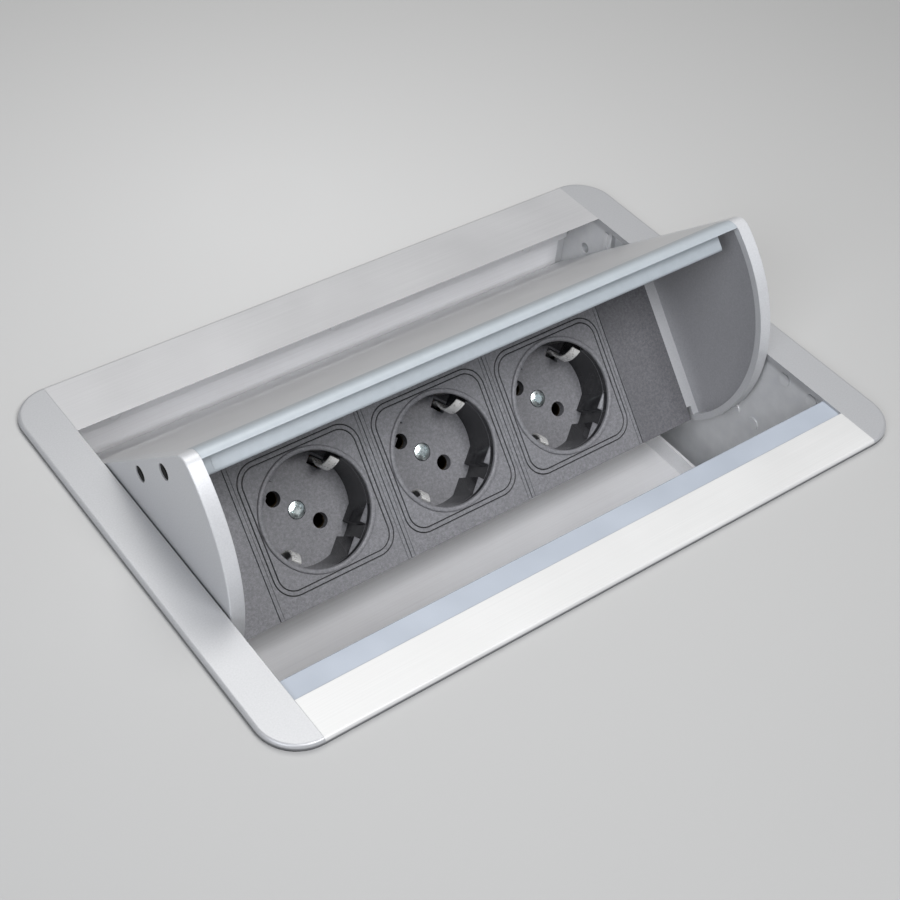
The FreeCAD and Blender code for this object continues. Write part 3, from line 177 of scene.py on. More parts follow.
def shade_lower_edge(material):
    tree = material.node_tree
    place = add(tree, "TexCoord").outputs["Object"]
    centre = Vector((BEZEL_X - BEZEL_CORNER, BEZEL_Y - BEZEL_CORNER, 0.0)) * MM
    mirrored = add(tree, "VectorMath", {"Vector": place}, operation="ABSOLUTE")
    past = add(tree, "VectorMath", {"Vector": mirrored, "Vector_001": centre},
               operation="SUBTRACT")
    outside = add(tree, "VectorMath", {"Vector": past, "Vector_001": (0, 0, 0)},
                  operation="MAXIMUM")
    level = add(tree, "VectorMath", {"Vector": outside, "Vector_001": (1, 1, 0)},
                operation="MULTIPLY")
    away = add(tree, "VectorMath", {"Vector": level}, operation="LENGTH").outputs["Value"]
    near = add(tree, "MapRange", {"Value": away, "From Min": (BEZEL_CORNER - 0.4) * MM,
                                  "From Max": (BEZEL_CORNER - 0.2) * MM})
    height = add(tree, "SeparateXYZ", {"Vector": place}).outputs["Z"]
    low = add(tree, "MapRange", {"Value": height, "From Min": EDGE_HIGH * MM,
                                 "From Max": EDGE_LOW * MM})
    mask = add(tree, "Math", {"Value": near, "Value_001": low}, operation="MULTIPLY")
    # painted shade: the lower edge of the bezel is darkened towards the desk
    lay_over(tree, mask, linear(EDGE_SHADE_TONE))
    return material


print("edge darkened below", EDGE_LOW, "mm")

# %% [markdown]
# ## Silver painted casting
#
# The end caps and the cheeks are pressure die castings in a silver paint. The paint carries fine
# aluminium flakes, so it is part metal to the eye, with a soft broad highlight. Where a casting is
# hidden in use it is left nearly raw: its walls are pale bare metal, cloudy from the way it flowed, and
# only the shade of the tub makes them look dark. One recipe does both. A mask tells the raw places from
# the painted ones by where a point lies.

# %% Silver painted casting
PAINTED = [(0.25, "acadaf"), (0.5, "b1b2b4"), (0.78, "b6b7b9")]
RAW = [(0.3, "d6d7d9"), (0.5, "dbdcdd"), (0.72, "e1e2e3")]
RAW_BELOW, PAINT_ABOVE = 72.0, 74.4     # the bezel's own 2.2 mm are painted, the walls under it raw


def casting(name, painted_stops, metallic, axis, from_mm, full_mm):
    """Painted where the chosen coordinate is past full_mm, raw where it is short of from_mm."""
    material, tree, surface = new_finish(name, Metallic=metallic, Roughness=0.42)
    place = add(tree, "TexCoord").outputs["Object"]
    flake = add(tree, "TexNoise", {"Vector": place, "Scale": 1 / (0.5 * MM), "Detail": 3.0})
    cloud = add(tree, "TexNoise", {"Vector": place, "Scale": 1 / (7.0 * MM), "Detail": 3.0,
                                   "Roughness": 0.5})
    painted = add(tree, "ValToRGB", {"Fac": flake}, stops=painted_stops)
    raw = add(tree, "ValToRGB", {"Fac": cloud}, stops=RAW)
    split = add(tree, "SeparateXYZ", {"Vector": place})
    along = add(tree, "Math", {"Value": split.outputs[axis]}, operation="ABSOLUTE")
    mask = add(tree, "MapRange", {"Value": along, "From Min": from_mm * MM,
                                  "From Max": full_mm * MM}, interpolation_type="SMOOTHSTEP")
    tree.links.new(raw.outputs[0], surface.inputs["Base Color"])
    lay_over(tree, mask, painted)
    polish = add(tree, "MapRange", {"Value": mask, "To Min": 0.52, "To Max": 0.38})
    tree.links.new(polish.outputs[0], surface.inputs["Roughness"])
    rounded = add(tree, "Bevel", {"Radius": 0.25 * MM}, samples=4)
    waves = add(tree, "Bump", {"Height": cloud, "Distance": 0.02 * MM, "Strength": 0.15,
                               "Normal": rounded})
    peel = add(tree, "Bump", {"Height": flake, "Distance": 0.006 * MM, "Strength": 0.5,
                              "Normal": waves})
    tree.links.new(peel.outputs[0], surface.inputs["Normal"])
    return material


cap_casting = casting("silver_painted_die_casting", PAINTED, 0.3, "Z", RAW_BELOW, PAINT_ABOVE)
wear(shade_lower_edge(cap_casting), "left_end_cap", "right_end_cap")

# %% [markdown]
# ## The cheeks
#
# A cheek is dished on its inner side. The rim and the outer face wear the same silver paint as the end
# caps, given paler tones here as painted light, and the floor of the dish shows the dark, fine-grained
# skin that a die leaves. The floor lies further from the middle of the unit than the rim, so that
# distance tells them apart. All the rest is painted, so the split between raw and painted lies at the
# unit's middle, where no cheek reaches.

# %% Cheek casting
# paler than the end caps' paint: painted light on the cheeks
CHEEK_PAINT_WITH_PAINTED_LIGHT = [(0.25, "c0c1c3"), (0.5, "c6c7c9"), (0.78, "cccdcf")]
DISH = [(0.3, "a2a2a5"), (0.5, "a8a8ab"), (0.72, "afafb2")]
DISH_FLOOR = 107.6


def cheek_casting():
    material = casting("silver_painted_cheek_casting", CHEEK_PAINT_WITH_PAINTED_LIGHT, 0.15, "X", 0.0, 1.0)
    tree = material.node_tree
    place = add(tree, "TexCoord").outputs["Object"]
    split = add(tree, "SeparateXYZ", {"Vector": place})
    away = add(tree, "Math", {"Value": split.outputs["X"]}, operation="ABSOLUTE")
    from_floor = add(tree, "Math", {"Value": away, "Value_001": DISH_FLOOR * MM},
                     operation="SUBTRACT")
    gap = add(tree, "Math", {"Value": from_floor}, operation="ABSOLUTE")
    floor = add(tree, "MapRange", {"Value": gap, "From Min": 0.9 * MM, "From Max": 0.3 * MM},
                interpolation_type="SMOOTHSTEP")
    facing = add(tree, "SeparateXYZ", {"Vector": add(tree, "TexCoord").outputs["Normal"]})
    sideways = add(tree, "Math", {"Value": facing.outputs["X"]}, operation="ABSOLUTE")
    level = add(tree, "MapRange", {"Value": sideways, "From Min": 0.8, "From Max": 0.95})
    floor = add(tree, "Math", {"Value": floor, "Value_001": level}, operation="MULTIPLY")
    skin = add(tree, "TexNoise", {"Vector": place, "Scale": 1 / (0.6 * MM), "Detail": 3.0})
    lay_over(tree, floor, add(tree, "ValToRGB", {"Fac": skin}, stops=DISH))
    return material


wear(cheek_casting(), "left_cheek", "right_cheek")

# %% [markdown]
# ## Anodised extrusions
#
# The rails and the lid are aluminium pushed through a die and then anodised. The die leaves very fine
# straight lines along the piece, and the clear oxide turns the mirror of the metal into a soft satin. A
# noise stretched about 170 times along X gives such lines. They shift the tone and the gloss a little,
# and they are drawn coarser than the real hundredths of a millimetre, so that they show. The web of the
# rear rail, which hangs down behind the lid, is kept paler than its top, because it is lit far less.

# %% Anodised extrusions
LINE_WIDTH = 0.35 * MM
LINE_LENGTH = 60.0 * MM
LINE_DEPTH = 0.004 * MM
WEB_FROM, WEB_FULL, WEB_TONE = 74.0, 73.0, "f4f4f5"


def anodised(name, tones, metallic, roughness):
    material, tree, surface = new_finish(name, Metallic=metallic, Roughness=roughness)
    place = add(tree, "TexCoord").outputs["Object"]
    stretched = add(tree, "Mapping", {"Vector": place, "Scale": (1 / LINE_LENGTH, 1 / LINE_WIDTH,
                                                                 1 / LINE_WIDTH)})
    lines = add(tree, "TexNoise", {"Vector": stretched, "Scale": 1.0, "Detail": 3.0})
    cloud = add(tree, "TexNoise", {"Vector": place, "Scale": 1 / (35.0 * MM), "Detail": 2.0})
    both = add(tree, "Math", {"Value": lines, "Value_001": cloud}, operation="ADD")
    half = add(tree, "Math", {"Value": both, "Value_001": 0.5}, operation="MULTIPLY")
    colour = add(tree, "ValToRGB", {"Fac": half}, stops=tones)
    tree.links.new(colour.outputs[0], surface.inputs["Base Color"])
    gloss = add(tree, "MapRange", {"Value": half, "From Min": 0.35, "From Max": 0.65,
                                   "To Min": roughness - 0.04, "To Max": roughness + 0.04})
    tree.links.new(gloss.outputs[0], surface.inputs["Roughness"])
    rounded = add(tree, "Bevel", {"Radius": 0.2 * MM}, samples=4)
    relief = add(tree, "Bump", {"Height": lines, "Distance": LINE_DEPTH, "Normal": rounded})
    tree.links.new(relief.outputs[0], surface.inputs["Normal"])
    return material


def rear_extrusion_painted_light_and_shade():
    # same anodised metal as the front rail: these darker tones are painted shade, the paler web painted
    # light
    material = anodised("pale_anodised_rear_extrusion_painted_light_and_shade",
                        [(0.3, "b7b7b8"), (0.5, "bdbdbe"), (0.7, "c4c4c5")], 0.3, 0.36)
    tree = material.node_tree
    split = add(tree, "SeparateXYZ", {"Vector": add(tree, "TexCoord").outputs["Object"]})
    web = add(tree, "MapRange", {"Value": split.outputs["Z"], "From Min": WEB_FROM * MM,
                                 "From Max": WEB_FULL * MM})
    lay_over(tree, web, linear(WEB_TONE))
    return material


# lighter tones than the rear rail's, on the same anodised metal: painted light
front_finish_painted_light = anodised("pale_anodised_front_extrusion_painted_light",
                        [(0.3, "c8c8c7"), (0.5, "cdcdcc"), (0.7, "d3d3d2")], 0.16, 0.46)
wear(shade_lower_edge(front_finish_painted_light), "front_rail")
wear(shade_lower_edge(rear_extrusion_painted_light_and_shade()), "rear_rail")

# %% [markdown]
# ## Sheet and strip
#
# The trough is rolled aluminium sheet, plain from the mill, with a faint grain along the roll. Bare
# sheet deep in a tub shows little mirror, so it is nearly matt here, and its tone is kept near white
# as painted light for the shade of the tub. The strip at the front is a smooth profile in a cool
# grey-blue, with a satin gloss and no grain.

# %% Sheet and strip
GRAIN_LENGTH, GRAIN_WIDTH, GRAIN_DEPTH = 45.0 * MM, 0.6 * MM, 0.006 * MM


def rolled_sheet_painted_light():
    material, tree, surface = new_finish("mill_finish_aluminium_sheet", Metallic=0.08, Roughness=0.45)
    place = add(tree, "TexCoord").outputs["Object"]
    rolled = add(tree, "Mapping", {"Vector": place, "Scale": (1 / GRAIN_LENGTH, 1 / GRAIN_WIDTH,
                                                              1 / GRAIN_WIDTH)})
    grain = add(tree, "TexNoise", {"Vector": rolled, "Scale": 1.0, "Detail": 2.0})
    cloud = add(tree, "TexNoise", {"Vector": place, "Scale": 1 / (28.0 * MM), "Detail": 3.0})
    both = add(tree, "Math", {"Value": grain, "Value_001": cloud}, operation="ADD")
    half = add(tree, "Math", {"Value": both, "Value_001": 0.5}, operation="MULTIPLY")
    # near white tones: painted light for the shaded walls of the tub
    tone = add(tree, "ValToRGB", {"Fac": half},
               stops=[(0.32, "efeeef"), (0.5, "f4f4f5"), (0.68, "f9f9fa")])
    tree.links.new(tone.outputs[0], surface.inputs["Base Color"])
    relief = add(tree, "Bump", {"Height": grain, "Distance": GRAIN_DEPTH})
    tree.links.new(relief.outputs[0], surface.inputs["Normal"])
    return material


def smooth_profile():
    material, tree, surface = new_finish("smooth_grey_blue_profile", Roughness=0.45)
    place = add(tree, "TexCoord").outputs["Object"]
    drift = add(tree, "TexNoise", {"Vector": place, "Scale": 1 / (22.0 * MM), "Detail": 2.0})
    tone = add(tree, "ValToRGB", {"Fac": drift},
               stops=[(0.3, "9da4ae"), (0.5, "a2a9b3"), (0.7, "a7aeb8")])
    tree.links.new(tone.outputs[0], surface.inputs["Base Color"])
    return material


wear(rolled_sheet_painted_light(), "trough", "rear_wall")
wear(smooth_profile(), "front_lip_strip")

# %% [markdown]
# ## Moulded plastic
#
# The socket modules are moulded in a dark grey engineering plastic. Their moulds are spark-eroded, which
# gives a fine, even pebble with a dull sheen. Two noises together give it: a fine one that also raises
# the surface, and one of a millimetre that makes the tone a little blotchy, as such a mould does.

# %% Moulded plastic
PEBBLE_MM, PEBBLE_DEPTH_MM = 0.35, 0.03


def moulding(name, tones, roughness, pebble_mm=PEBBLE_MM, depth_mm=PEBBLE_DEPTH_MM):
    material, tree, surface = new_finish(name, Roughness=roughness)
    place = add(tree, "TexCoord").outputs["Object"]
    pebble = add(tree, "TexNoise", {"Vector": place, "Scale": 1 / (pebble_mm * MM), "Detail": 3.0})
    cloud = add(tree, "TexNoise", {"Vector": place, "Scale": 1 / (1.0 * MM), "Detail": 3.0})
    both = add(tree, "Math", {"Value": pebble, "Value_001": cloud}, operation="ADD")
    half = add(tree, "Math", {"Value": both, "Value_001": 0.5}, operation="MULTIPLY")
    tone = add(tree, "ValToRGB", {"Fac": half}, stops=tones)
    tree.links.new(tone.outputs[0], surface.inputs["Base Color"])
    rounded = add(tree, "Bevel", {"Radius": 0.15 * MM}, samples=4)
    relief = add(tree, "Bump", {"Height": pebble, "Distance": depth_mm * MM, "Normal": rounded})
    tree.links.new(relief.outputs[0], surface.inputs["Normal"])
    return material


print("pebble of", PEBBLE_MM, "mm")

# %% [markdown]
# ## How deep a point lies in the strip
#
# The carrier was drawn closed and is stored turned open about its pivot. A matrix that does the same
# turn gives every place on the carrier from the closed drawing. It also gives the direction that runs
# straight into the wells. A point's share along that direction is its depth behind the face of the
# strip, and with it a material can tell the floor of a groove from the face, or the nose from the lid.

# %% Depth behind the face
OPEN_ANGLE = math.radians(42.0)
PIVOT_Y, PIVOT_Z = 27.4, 38.2
FACE_Y, SOCKET_Z = 1.9, 36.6

TO_PIVOT = Matrix.Translation((0.0, PIVOT_Y * MM, PIVOT_Z * MM))
OPENED = TO_PIVOT @ Matrix.Rotation(-OPEN_ANGLE, 4, "X") @ TO_PIVOT.inverted()
INTO_WELL = OPENED.to_3x3() @ Vector((0, 1, 0))
FACE_DEPTH = (OPENED @ Vector((0.0, FACE_Y * MM, SOCKET_Z * MM))).dot(INTO_WELL)


def depth_in_strip(tree):
    """How far a point lies behind the face of the socket strip."""
    place = add(tree, "TexCoord").outputs["Object"]
    along = add(tree, "VectorMath", {"Vector": place, "Vector_001": INTO_WELL},
                operation="DOT_PRODUCT")
    return add(tree, "Math", {"Value": along.outputs["Value"], "Value_001": FACE_DEPTH},
               operation="SUBTRACT")


def streaked_over(tree, mask, stops):
    """Lays a slightly streaked tone over the colour of a finish, where the mask is 1."""
    place = add(tree, "TexCoord").outputs["Object"]
    streak = add(tree, "TexNoise", {"Vector": place, "Scale": 1 / (2.5 * MM), "Detail": 2.0})
    lay_over(tree, mask, add(tree, "ValToRGB", {"Fac": streak}, stops=stops))


print("the face of the strip lies", round(FACE_DEPTH / MM, 2), "mm along the direction into the wells")

# %% [markdown]
# ## The nose of the lid
#
# The front edge of the lid is given a grey-blue tone like the strip in front of it, and it is less
# metallic than the flat of the lid; the grey-blue is a painted reflection of cool light. The nose is
# what reaches furthest forward, well in front of the strip's face, so its depth there is negative.

# %% Lid with its nose
NOSE_FROM, NOSE_FULL = -47.5, -50.5
LID_METALLIC, NOSE_METALLIC = 0.35, 0.1


def lid_with_painted_nose_reflection():
    material = anodised("satin_anodised_lid_extrusion",
                        [(0.3, "c3c3c4"), (0.5, "cbcbcc"), (0.7, "d3d3d4")], LID_METALLIC, 0.42)
    tree = material.node_tree
    nose = add(tree, "MapRange", {"Value": depth_in_strip(tree), "From Min": NOSE_FROM * MM,
                                  "From Max": NOSE_FULL * MM}, interpolation_type="SMOOTHSTEP")
    # painted reflection: a cool grey-blue tone on the nose
    streaked_over(tree, nose, [(0.3, "a6adb2"), (0.5, "a8afb4"), (0.7, "aab1b6")])
    metal = add(tree, "MapRange", {"Value": nose, "To Min": LID_METALLIC, "To Max": NOSE_METALLIC})
    tree.links.new(metal.outputs[0], tree.nodes["Principled BSDF"].inputs["Metallic"])
    return material


lid_finish = lid_with_painted_nose_reflection()
wear(lid_finish, "lid_panel")

# %% [markdown]
# ## Mouldings of the unit
#
# A fine groove frames each socket, and its floor is coloured black as dust and painted shade. The
# floor is half a millimetre deep and faces the same way as the plate, and these two facts together
# find it. The blank piece at the right is given darker tones than the plates. The other mouldings
# hardly show: black housings, pale bearing bushes and soft rubber.

# %% Mouldings of the unit
MODULE_TONES = [(0.38, "707074"), (0.5, "7d7d80"), (0.62, "8b8b8f")]
BLANK_TONES = [(0.38, "5b5b5f"), (0.5, "666669"), (0.62, "727276")]
GROOVE_FROM, GROOVE_FULL = 0.3, 0.4


def grooved_moulding():
    material = moulding("spark_textured_grey_moulding", MODULE_TONES, 0.5)
    tree = material.node_tree
    deep = add(tree, "MapRange", {"Value": depth_in_strip(tree), "From Min": GROOVE_FROM * MM,
                                  "From Max": GROOVE_FULL * MM})
    facing = add(tree, "VectorMath", {"Vector": add(tree, "TexCoord").outputs["Normal"],
                                      "Vector_001": INTO_WELL}, operation="DOT_PRODUCT")
    outward = add(tree, "MapRange", {"Value": facing.outputs["Value"], "From Min": -0.85,
                                     "From Max": -0.95})
    floor = add(tree, "Math", {"Value": deep, "Value_001": outward}, operation="MULTIPLY")
    # dust and painted shade: the floor of the groove is coloured near black
    streaked_over(tree, floor, [(0.3, "0a0a0b"), (0.5, "0d0d0e"), (0.7, "111112")])
    return material


wear(grooved_moulding(), "left_end_piece", "socket_plate_1", "socket_plate_2", "socket_plate_3")
wear(moulding("spark_textured_dark_moulding", BLANK_TONES, 0.5), "right_blank_piece")
floor_plastic = moulding("fine_textured_well_moulding", MODULE_TONES, 0.45, 0.3, 0.02)
for number in (1, 2, 3):
    wear(floor_plastic, "socket_base_%d" % number)
black_plastic = moulding("plain_black_moulding",
                         [(0.3, "1a1a1b"), (0.5, "1e1e1f"), (0.7, "232324")], 0.45)
wear(black_plastic, "rear_housing", "terminal_block", "cord_clamp_base", "cord_clamp_saddle",
     "latch_body", "latch_plunger")
bearing_plastic = moulding("natural_bearing_moulding",
                           [(0.3, "cfc9b8"), (0.5, "d6d0c0"), (0.7, "dcd7c8")], 0.35)
wear(bearing_plastic, "left_pivot_bush", "right_pivot_bush")
rubber = moulding("moulded_black_rubber", [(0.3, "151515"), (0.5, "191919"), (0.7, "1e1e1e")],
                  0.75, 0.5, 0.03)
wear(rubber, "cord_grommet", "housing_grommet", "open_stops", "closing_pads")

# %% [markdown]
# ## The wall of a well
#
# The core of the mould that forms a well is polished, so that a plug slides in, and its wall comes out
# smooth. The wall is also coloured near black as painted shade deep in the well, while the rim and the
# tops of the plug guides, which face the eye, keep the grey pebble. The depth behind the face tells all
# three apart, because the tops of the guides lie in one plane.

# %% Polished well wall
GUIDE_TOP = 2.6


def well_wall_painted_shade():
    material = moulding("polished_well_moulding_painted_shade", MODULE_TONES, 0.45, 0.3, 0.01)
    tree = material.node_tree
    depth = depth_in_strip(tree)
    inside = add(tree, "MapRange", {"Value": depth, "From Min": 0.0, "From Max": 0.5 * MM})
    from_top = add(tree, "Math", {"Value": depth, "Value_001": GUIDE_TOP * MM},
                   operation="SUBTRACT")
    away = add(tree, "Math", {"Value": from_top}, operation="ABSOLUTE")
    off_top = add(tree, "MapRange", {"Value": away, "From Min": 0.05 * MM, "From Max": 0.15 * MM})
    wall = add(tree, "Math", {"Value": inside, "Value_001": off_top}, operation="MULTIPLY")
    # painted shade: the wall deep in the well is coloured near black
    streaked_over(tree, wall, [(0.3, "232325"), (0.5, "29292b"), (0.7, "303032")])
    gloss = add(tree, "MapRange", {"Value": inside, "To Min": 0.45, "To Max": 0.16})
    tree.links.new(gloss.outputs[0], tree.nodes["Principled BSDF"].inputs["Roughness"])
    return material


polished_wall_painted_shade = well_wall_painted_shade()
print(polished_wall_painted_shade.name, "has", len(polished_wall_painted_shade.node_tree.nodes), "nodes")

# %% [markdown]
# ## Plated and bare metals
#
# Most screws are zinc plated, which is bright with a faint cool tint. Those of the tub are lacquered
# pale like its walls, and those of the cheeks are near black with little sheen, as painted shade, so
# that their holes look dark. The earth clips are nickel-plated spring strip, and the contacts deep in
# the pin holes are brass coloured near black as painted shade. These pieces are small, so a slight,
# cloudy change in gloss is all the detail that the eye finds on them.

# %% Plated and bare metals
CLOUD_MM = 1.5


def plated(name, tones, roughness, metallic=1.0):
    material, tree, surface = new_finish(name, Metallic=metallic, Roughness=roughness)
    place = add(tree, "TexCoord").outputs["Object"]
    cloud = add(tree, "TexNoise", {"Vector": place, "Scale": 1 / (CLOUD_MM * MM), "Detail": 4.0})
    tone = add(tree, "ValToRGB", {"Fac": cloud}, stops=tones)
    tree.links.new(tone.outputs[0], surface.inputs["Base Color"])
    gloss = add(tree, "MapRange", {"Value": cloud, "From Min": 0.3, "From Max": 0.7,
                                   "To Min": roughness - 0.06, "To Max": roughness + 0.06})
    tree.links.new(gloss.outputs[0], surface.inputs["Roughness"])
    relief = add(tree, "Bump", {"Height": cloud, "Distance": 0.01 * MM})
    tree.links.new(relief.outputs[0], surface.inputs["Normal"])
    return material


zinc = plated("zinc_plated_steel", [(0.3, "c9d3d2"), (0.5, "d5dedd"), (0.7, "e1e8e7")], 0.28)
wear(zinc, "terminal_screws")
# painted shade: near black with little sheen, so that the cheeks' screw holes look dark
painted_shade_screw_steel = moulding("black_steel_painted_shade", [(0.3, "050505"), (0.5, "070707"), (0.7, "0a0a0a")], 0.6)
painted_shade_screw_steel.node_tree.nodes["Principled BSDF"].inputs["Specular IOR Level"].default_value = 0.15
pale_lacquer = moulding("pale_lacquered_screw",
                        [(0.3, "e4e4e5"), (0.5, "eaeaeb"), (0.7, "f0f0f1")], 0.45)
turned = plated("turned_bright_steel", [(0.3, "a9a9a8"), (0.5, "b3b3b2"), (0.7, "bdbdbc")], 0.3)
wear(turned, "left_pivot_pin", "right_pivot_pin", "latch_striker")
spring_wire = plated("drawn_spring_wire", [(0.3, "77777a"), (0.5, "828285"), (0.7, "8e8e90")], 0.34)
wear(spring_wire, "left_torsion_spring", "right_torsion_spring")
nickel = plated("nickel_plated_strip", [(0.3, "f0efec"), (0.5, "f6f5f2"), (0.7, "fbfaf8")], 0.3, 0.35)
brass = plated("bare_brass", [(0.3, "b58d45"), (0.5, "c39b52"), (0.7, "cfa964")], 0.32)
wear(brass, "live_busbar", "neutral_busbar", "earth_busbar")
# painted shade: the contacts deep in the pin holes are coloured near black
painted_shade_contact_brass = plated("contact_brass_painted_shade",
                    [(0.3, "221c12"), (0.5, "2b2418"), (0.7, "352d1f")], 0.55)
wear(painted_shade_contact_brass, "pin_contacts_1", "pin_contacts_2", "pin_contacts_3")

# %% [markdown]
# ## Screws that follow one rule
#
# Every screw of the unit is the same thing in a few sizes: a round head with a slight dome and a crossed
# slot, and a shank. Each could be modelled by hand, but a rule is shorter and keeps them alike, so a
# Geometry Nodes tree makes one and sets it on every point of a small list. Each point carries the
# direction that the head faces and the length of its shank. The crossed slot is cut by one bar after
# the other, because a single cut with both bars at once failed on the small heads. The tree ends in
# plain geometry with its material on, because instances are lost in an export.

# %% The screw tree


def screw_tree():
    tree = bpy.data.node_groups.new("cross_slotted_screws", "GeometryNodeTree")
    tree.interface.new_socket("Screws", in_out="OUTPUT", socket_type="NodeSocketGeometry")
    tree.interface.new_socket("Places", in_out="INPUT", socket_type="NodeSocketGeometry")
    for name in ("Head Diameter", "Head Height", "Dome Height", "Slot Length", "Slot Width",
                 "Slot Depth", "Shank Diameter"):
        tree.interface.new_socket(name, in_out="INPUT", socket_type="NodeSocketFloat")
    tree.interface.new_socket("Finish", in_out="INPUT", socket_type="NodeSocketMaterial")
    given = add(tree, "NodeGroupInput").outputs
    radius = add(tree, "Math", {"Value": given["Head Diameter"], "Value_001": 0.5},
                 operation="MULTIPLY")
    disc = add(tree, "GeometryNodeMeshCylinder", {"Vertices": 40, "Side Segments": 1,
                                                  "Fill Segments": 5, "Radius": radius, "Depth": 1.0})
    spot = add(tree, "SeparateXYZ", {"Vector": add(tree, "GeometryNodeInputPosition")})
    top = add(tree, "Math", {"Value": spot.outputs["Z"], "Value_001": 0.5}, operation="ADD")
    flat = add(tree, "CombineXYZ", {"X": spot.outputs["X"], "Y": spot.outputs["Y"]})
    away = add(tree, "VectorMath", {"Vector": flat}, operation="LENGTH").outputs["Value"]
    share = add(tree, "Math", {"Value": away, "Value_001": radius}, operation="DIVIDE")
    fall = add(tree, "Math", {"Value": share, "Value_001": 2.0}, operation="POWER")
    drop = add(tree, "Math", {"Value": fall, "Value_001": given["Dome Height"]},
               operation="MULTIPLY")
    high = add(tree, "Math", {"Value": drop, "Value_001": -1.0}, operation="MULTIPLY")
    low = add(tree, "Math", {"Value": given["Head Height"], "Value_001": -1.0},
              operation="MULTIPLY")
    level = add(tree, "Mix", {"Factor_Float": top, "A_Float": low, "B_Float": high})
    domed = add(tree, "CombineXYZ", {"X": spot.outputs["X"], "Y": spot.outputs["Y"], "Z": level})
    head = add(tree, "GeometryNodeSetPosition", {"Geometry": disc, "Position": domed})
    deep = add(tree, "Math", {"Value": given["Slot Depth"], "Value_001": 2.0}, operation="MULTIPLY")
    slotted = head
    for x, y in (("Slot Length", "Slot Width"), ("Slot Width", "Slot Length")):
        size = add(tree, "CombineXYZ", {"X": given[x], "Y": given[y], "Z": deep})
        bar = add(tree, "GeometryNodeMeshCube", {"Size": size})
        slotted = add(tree, "GeometryNodeMeshBoolean", {"Mesh 1": slotted, "Mesh 2": bar},
                      operation="DIFFERENCE", solver="EXACT")
    thin = add(tree, "Math", {"Value": given["Shank Diameter"], "Value_001": 0.5},
               operation="MULTIPLY")
    rod = add(tree, "GeometryNodeMeshCylinder", {"Vertices": 16, "Radius": thin, "Depth": 1.0})
    hung = add(tree, "GeometryNodeTransform", {"Geometry": rod, "Translation": (0.0, 0.0, -0.5)})
    facing = add(tree, "GeometryNodeInputNamedAttribute", {"Name": "facing"},
                 data_type="FLOAT_VECTOR")
    turn = add(tree, "FunctionNodeAlignRotationToVector", {"Vector": facing}, axis="Z")
    reach = add(tree, "GeometryNodeInputNamedAttribute", {"Name": "reach"}, data_type="FLOAT")
    stretch = add(tree, "CombineXYZ", {"X": 1.0, "Y": 1.0, "Z": reach})
    heads = add(tree, "GeometryNodeInstanceOnPoints",
                {"Points": given["Places"], "Instance": slotted, "Rotation": turn})
    shanks = add(tree, "GeometryNodeInstanceOnPoints",
                 {"Points": given["Places"], "Instance": hung, "Rotation": turn, "Scale": stretch})
    both = add(tree, "GeometryNodeJoinGeometry")
    tree.links.new(heads.outputs[0], both.inputs[0])
    tree.links.new(shanks.outputs[0], both.inputs[0])
    real = add(tree, "GeometryNodeRealizeInstances", {"Geometry": both})
    done = add(tree, "GeometryNodeSetMaterial", {"Geometry": real, "Material": given["Finish"]})
    add(tree, "NodeGroupOutput", {"Screws": done})
    return tree


SCREWS = screw_tree()
print("screw tree with", len(SCREWS.nodes), "nodes")

# %% A group of screws
SCREW_SHARP = 32.0


def smooth(mesh, sharp_degrees):
    """Smooth shading that keeps an edge sharp where it bends by more than the angle."""
    mesh.shade_smooth()
    mesh.set_sharp_from_angle(angle=math.radians(sharp_degrees))


def applied(piece):
    """The piece's mesh as its modifiers leave it."""
    return bpy.data.meshes.new_from_object(
        piece.evaluated_get(bpy.context.evaluated_depsgraph_get()))


def screws(name, body, slot, finish, placed, sizes_mm, *nodes):
    """placed lists (frame, head's outer middle in mm, the way it faces, shank length in mm)."""
    points = bpy.data.meshes.new(name)
    points.from_pydata([at @ (Vector(spot) * MM) for at, spot, facing, reach in placed], [], [])
    points.attributes.new("facing", "FLOAT_VECTOR", "POINT")
    points.attributes.new("reach", "FLOAT", "POINT")
    for i, (at, spot, facing, reach) in enumerate(placed):
        points.attributes["facing"].data[i].vector = at.to_3x3() @ Vector(facing)
        points.attributes["reach"].data[i].value = reach * MM
    made = put(name, points)
    rule = made.modifiers.new("rule", "NODES")
    rule.node_group = SCREWS
    for item in SCREWS.interface.items_tree:
        if item.name in sizes_mm:
            rule[item.identifier] = sizes_mm[item.name] * MM
        elif item.name == "Finish":
            rule[item.identifier] = finish
    whole = applied(made)
    made.modifiers.remove(rule)
    made.data = whole
    smooth(whole, SCREW_SHARP)
    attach(made, body)
    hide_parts(*nodes)
    print(name, len(placed), "screws,", len(whole.polygons), "faces")


print("edges of a screw stay sharp past", SCREW_SHARP, "degrees")

# %% [markdown]
# ## Screws on their places
#
# The places are read off the CAD pieces, in millimetres. Those of the tub hold as they are. Those of the
# carrier are given as in its closed drawing and are turned open with it. A socket has a frame of its
# own, because the line through its pin holes runs at 45 degrees across the strip.

# %% Sizes and places of the screws
SMALL = {"Head Diameter": 5.2, "Head Height": 1.3, "Dome Height": 0.35, "Slot Length": 3.0,
         "Slot Width": 0.75, "Slot Depth": 0.8, "Shank Diameter": 2.9}
CHEEK = {**SMALL, "Head Diameter": 5.56, "Slot Length": 3.2, "Slot Width": 0.9}
CENTRE = {"Head Diameter": 6.0, "Head Height": 1.8, "Dome Height": 0.45, "Slot Length": 3.8,
          "Slot Width": 0.8, "Slot Depth": 1.0, "Shank Diameter": 2.9}
SIDES = (-1, 1)
SHUT = Matrix.Identity(4)

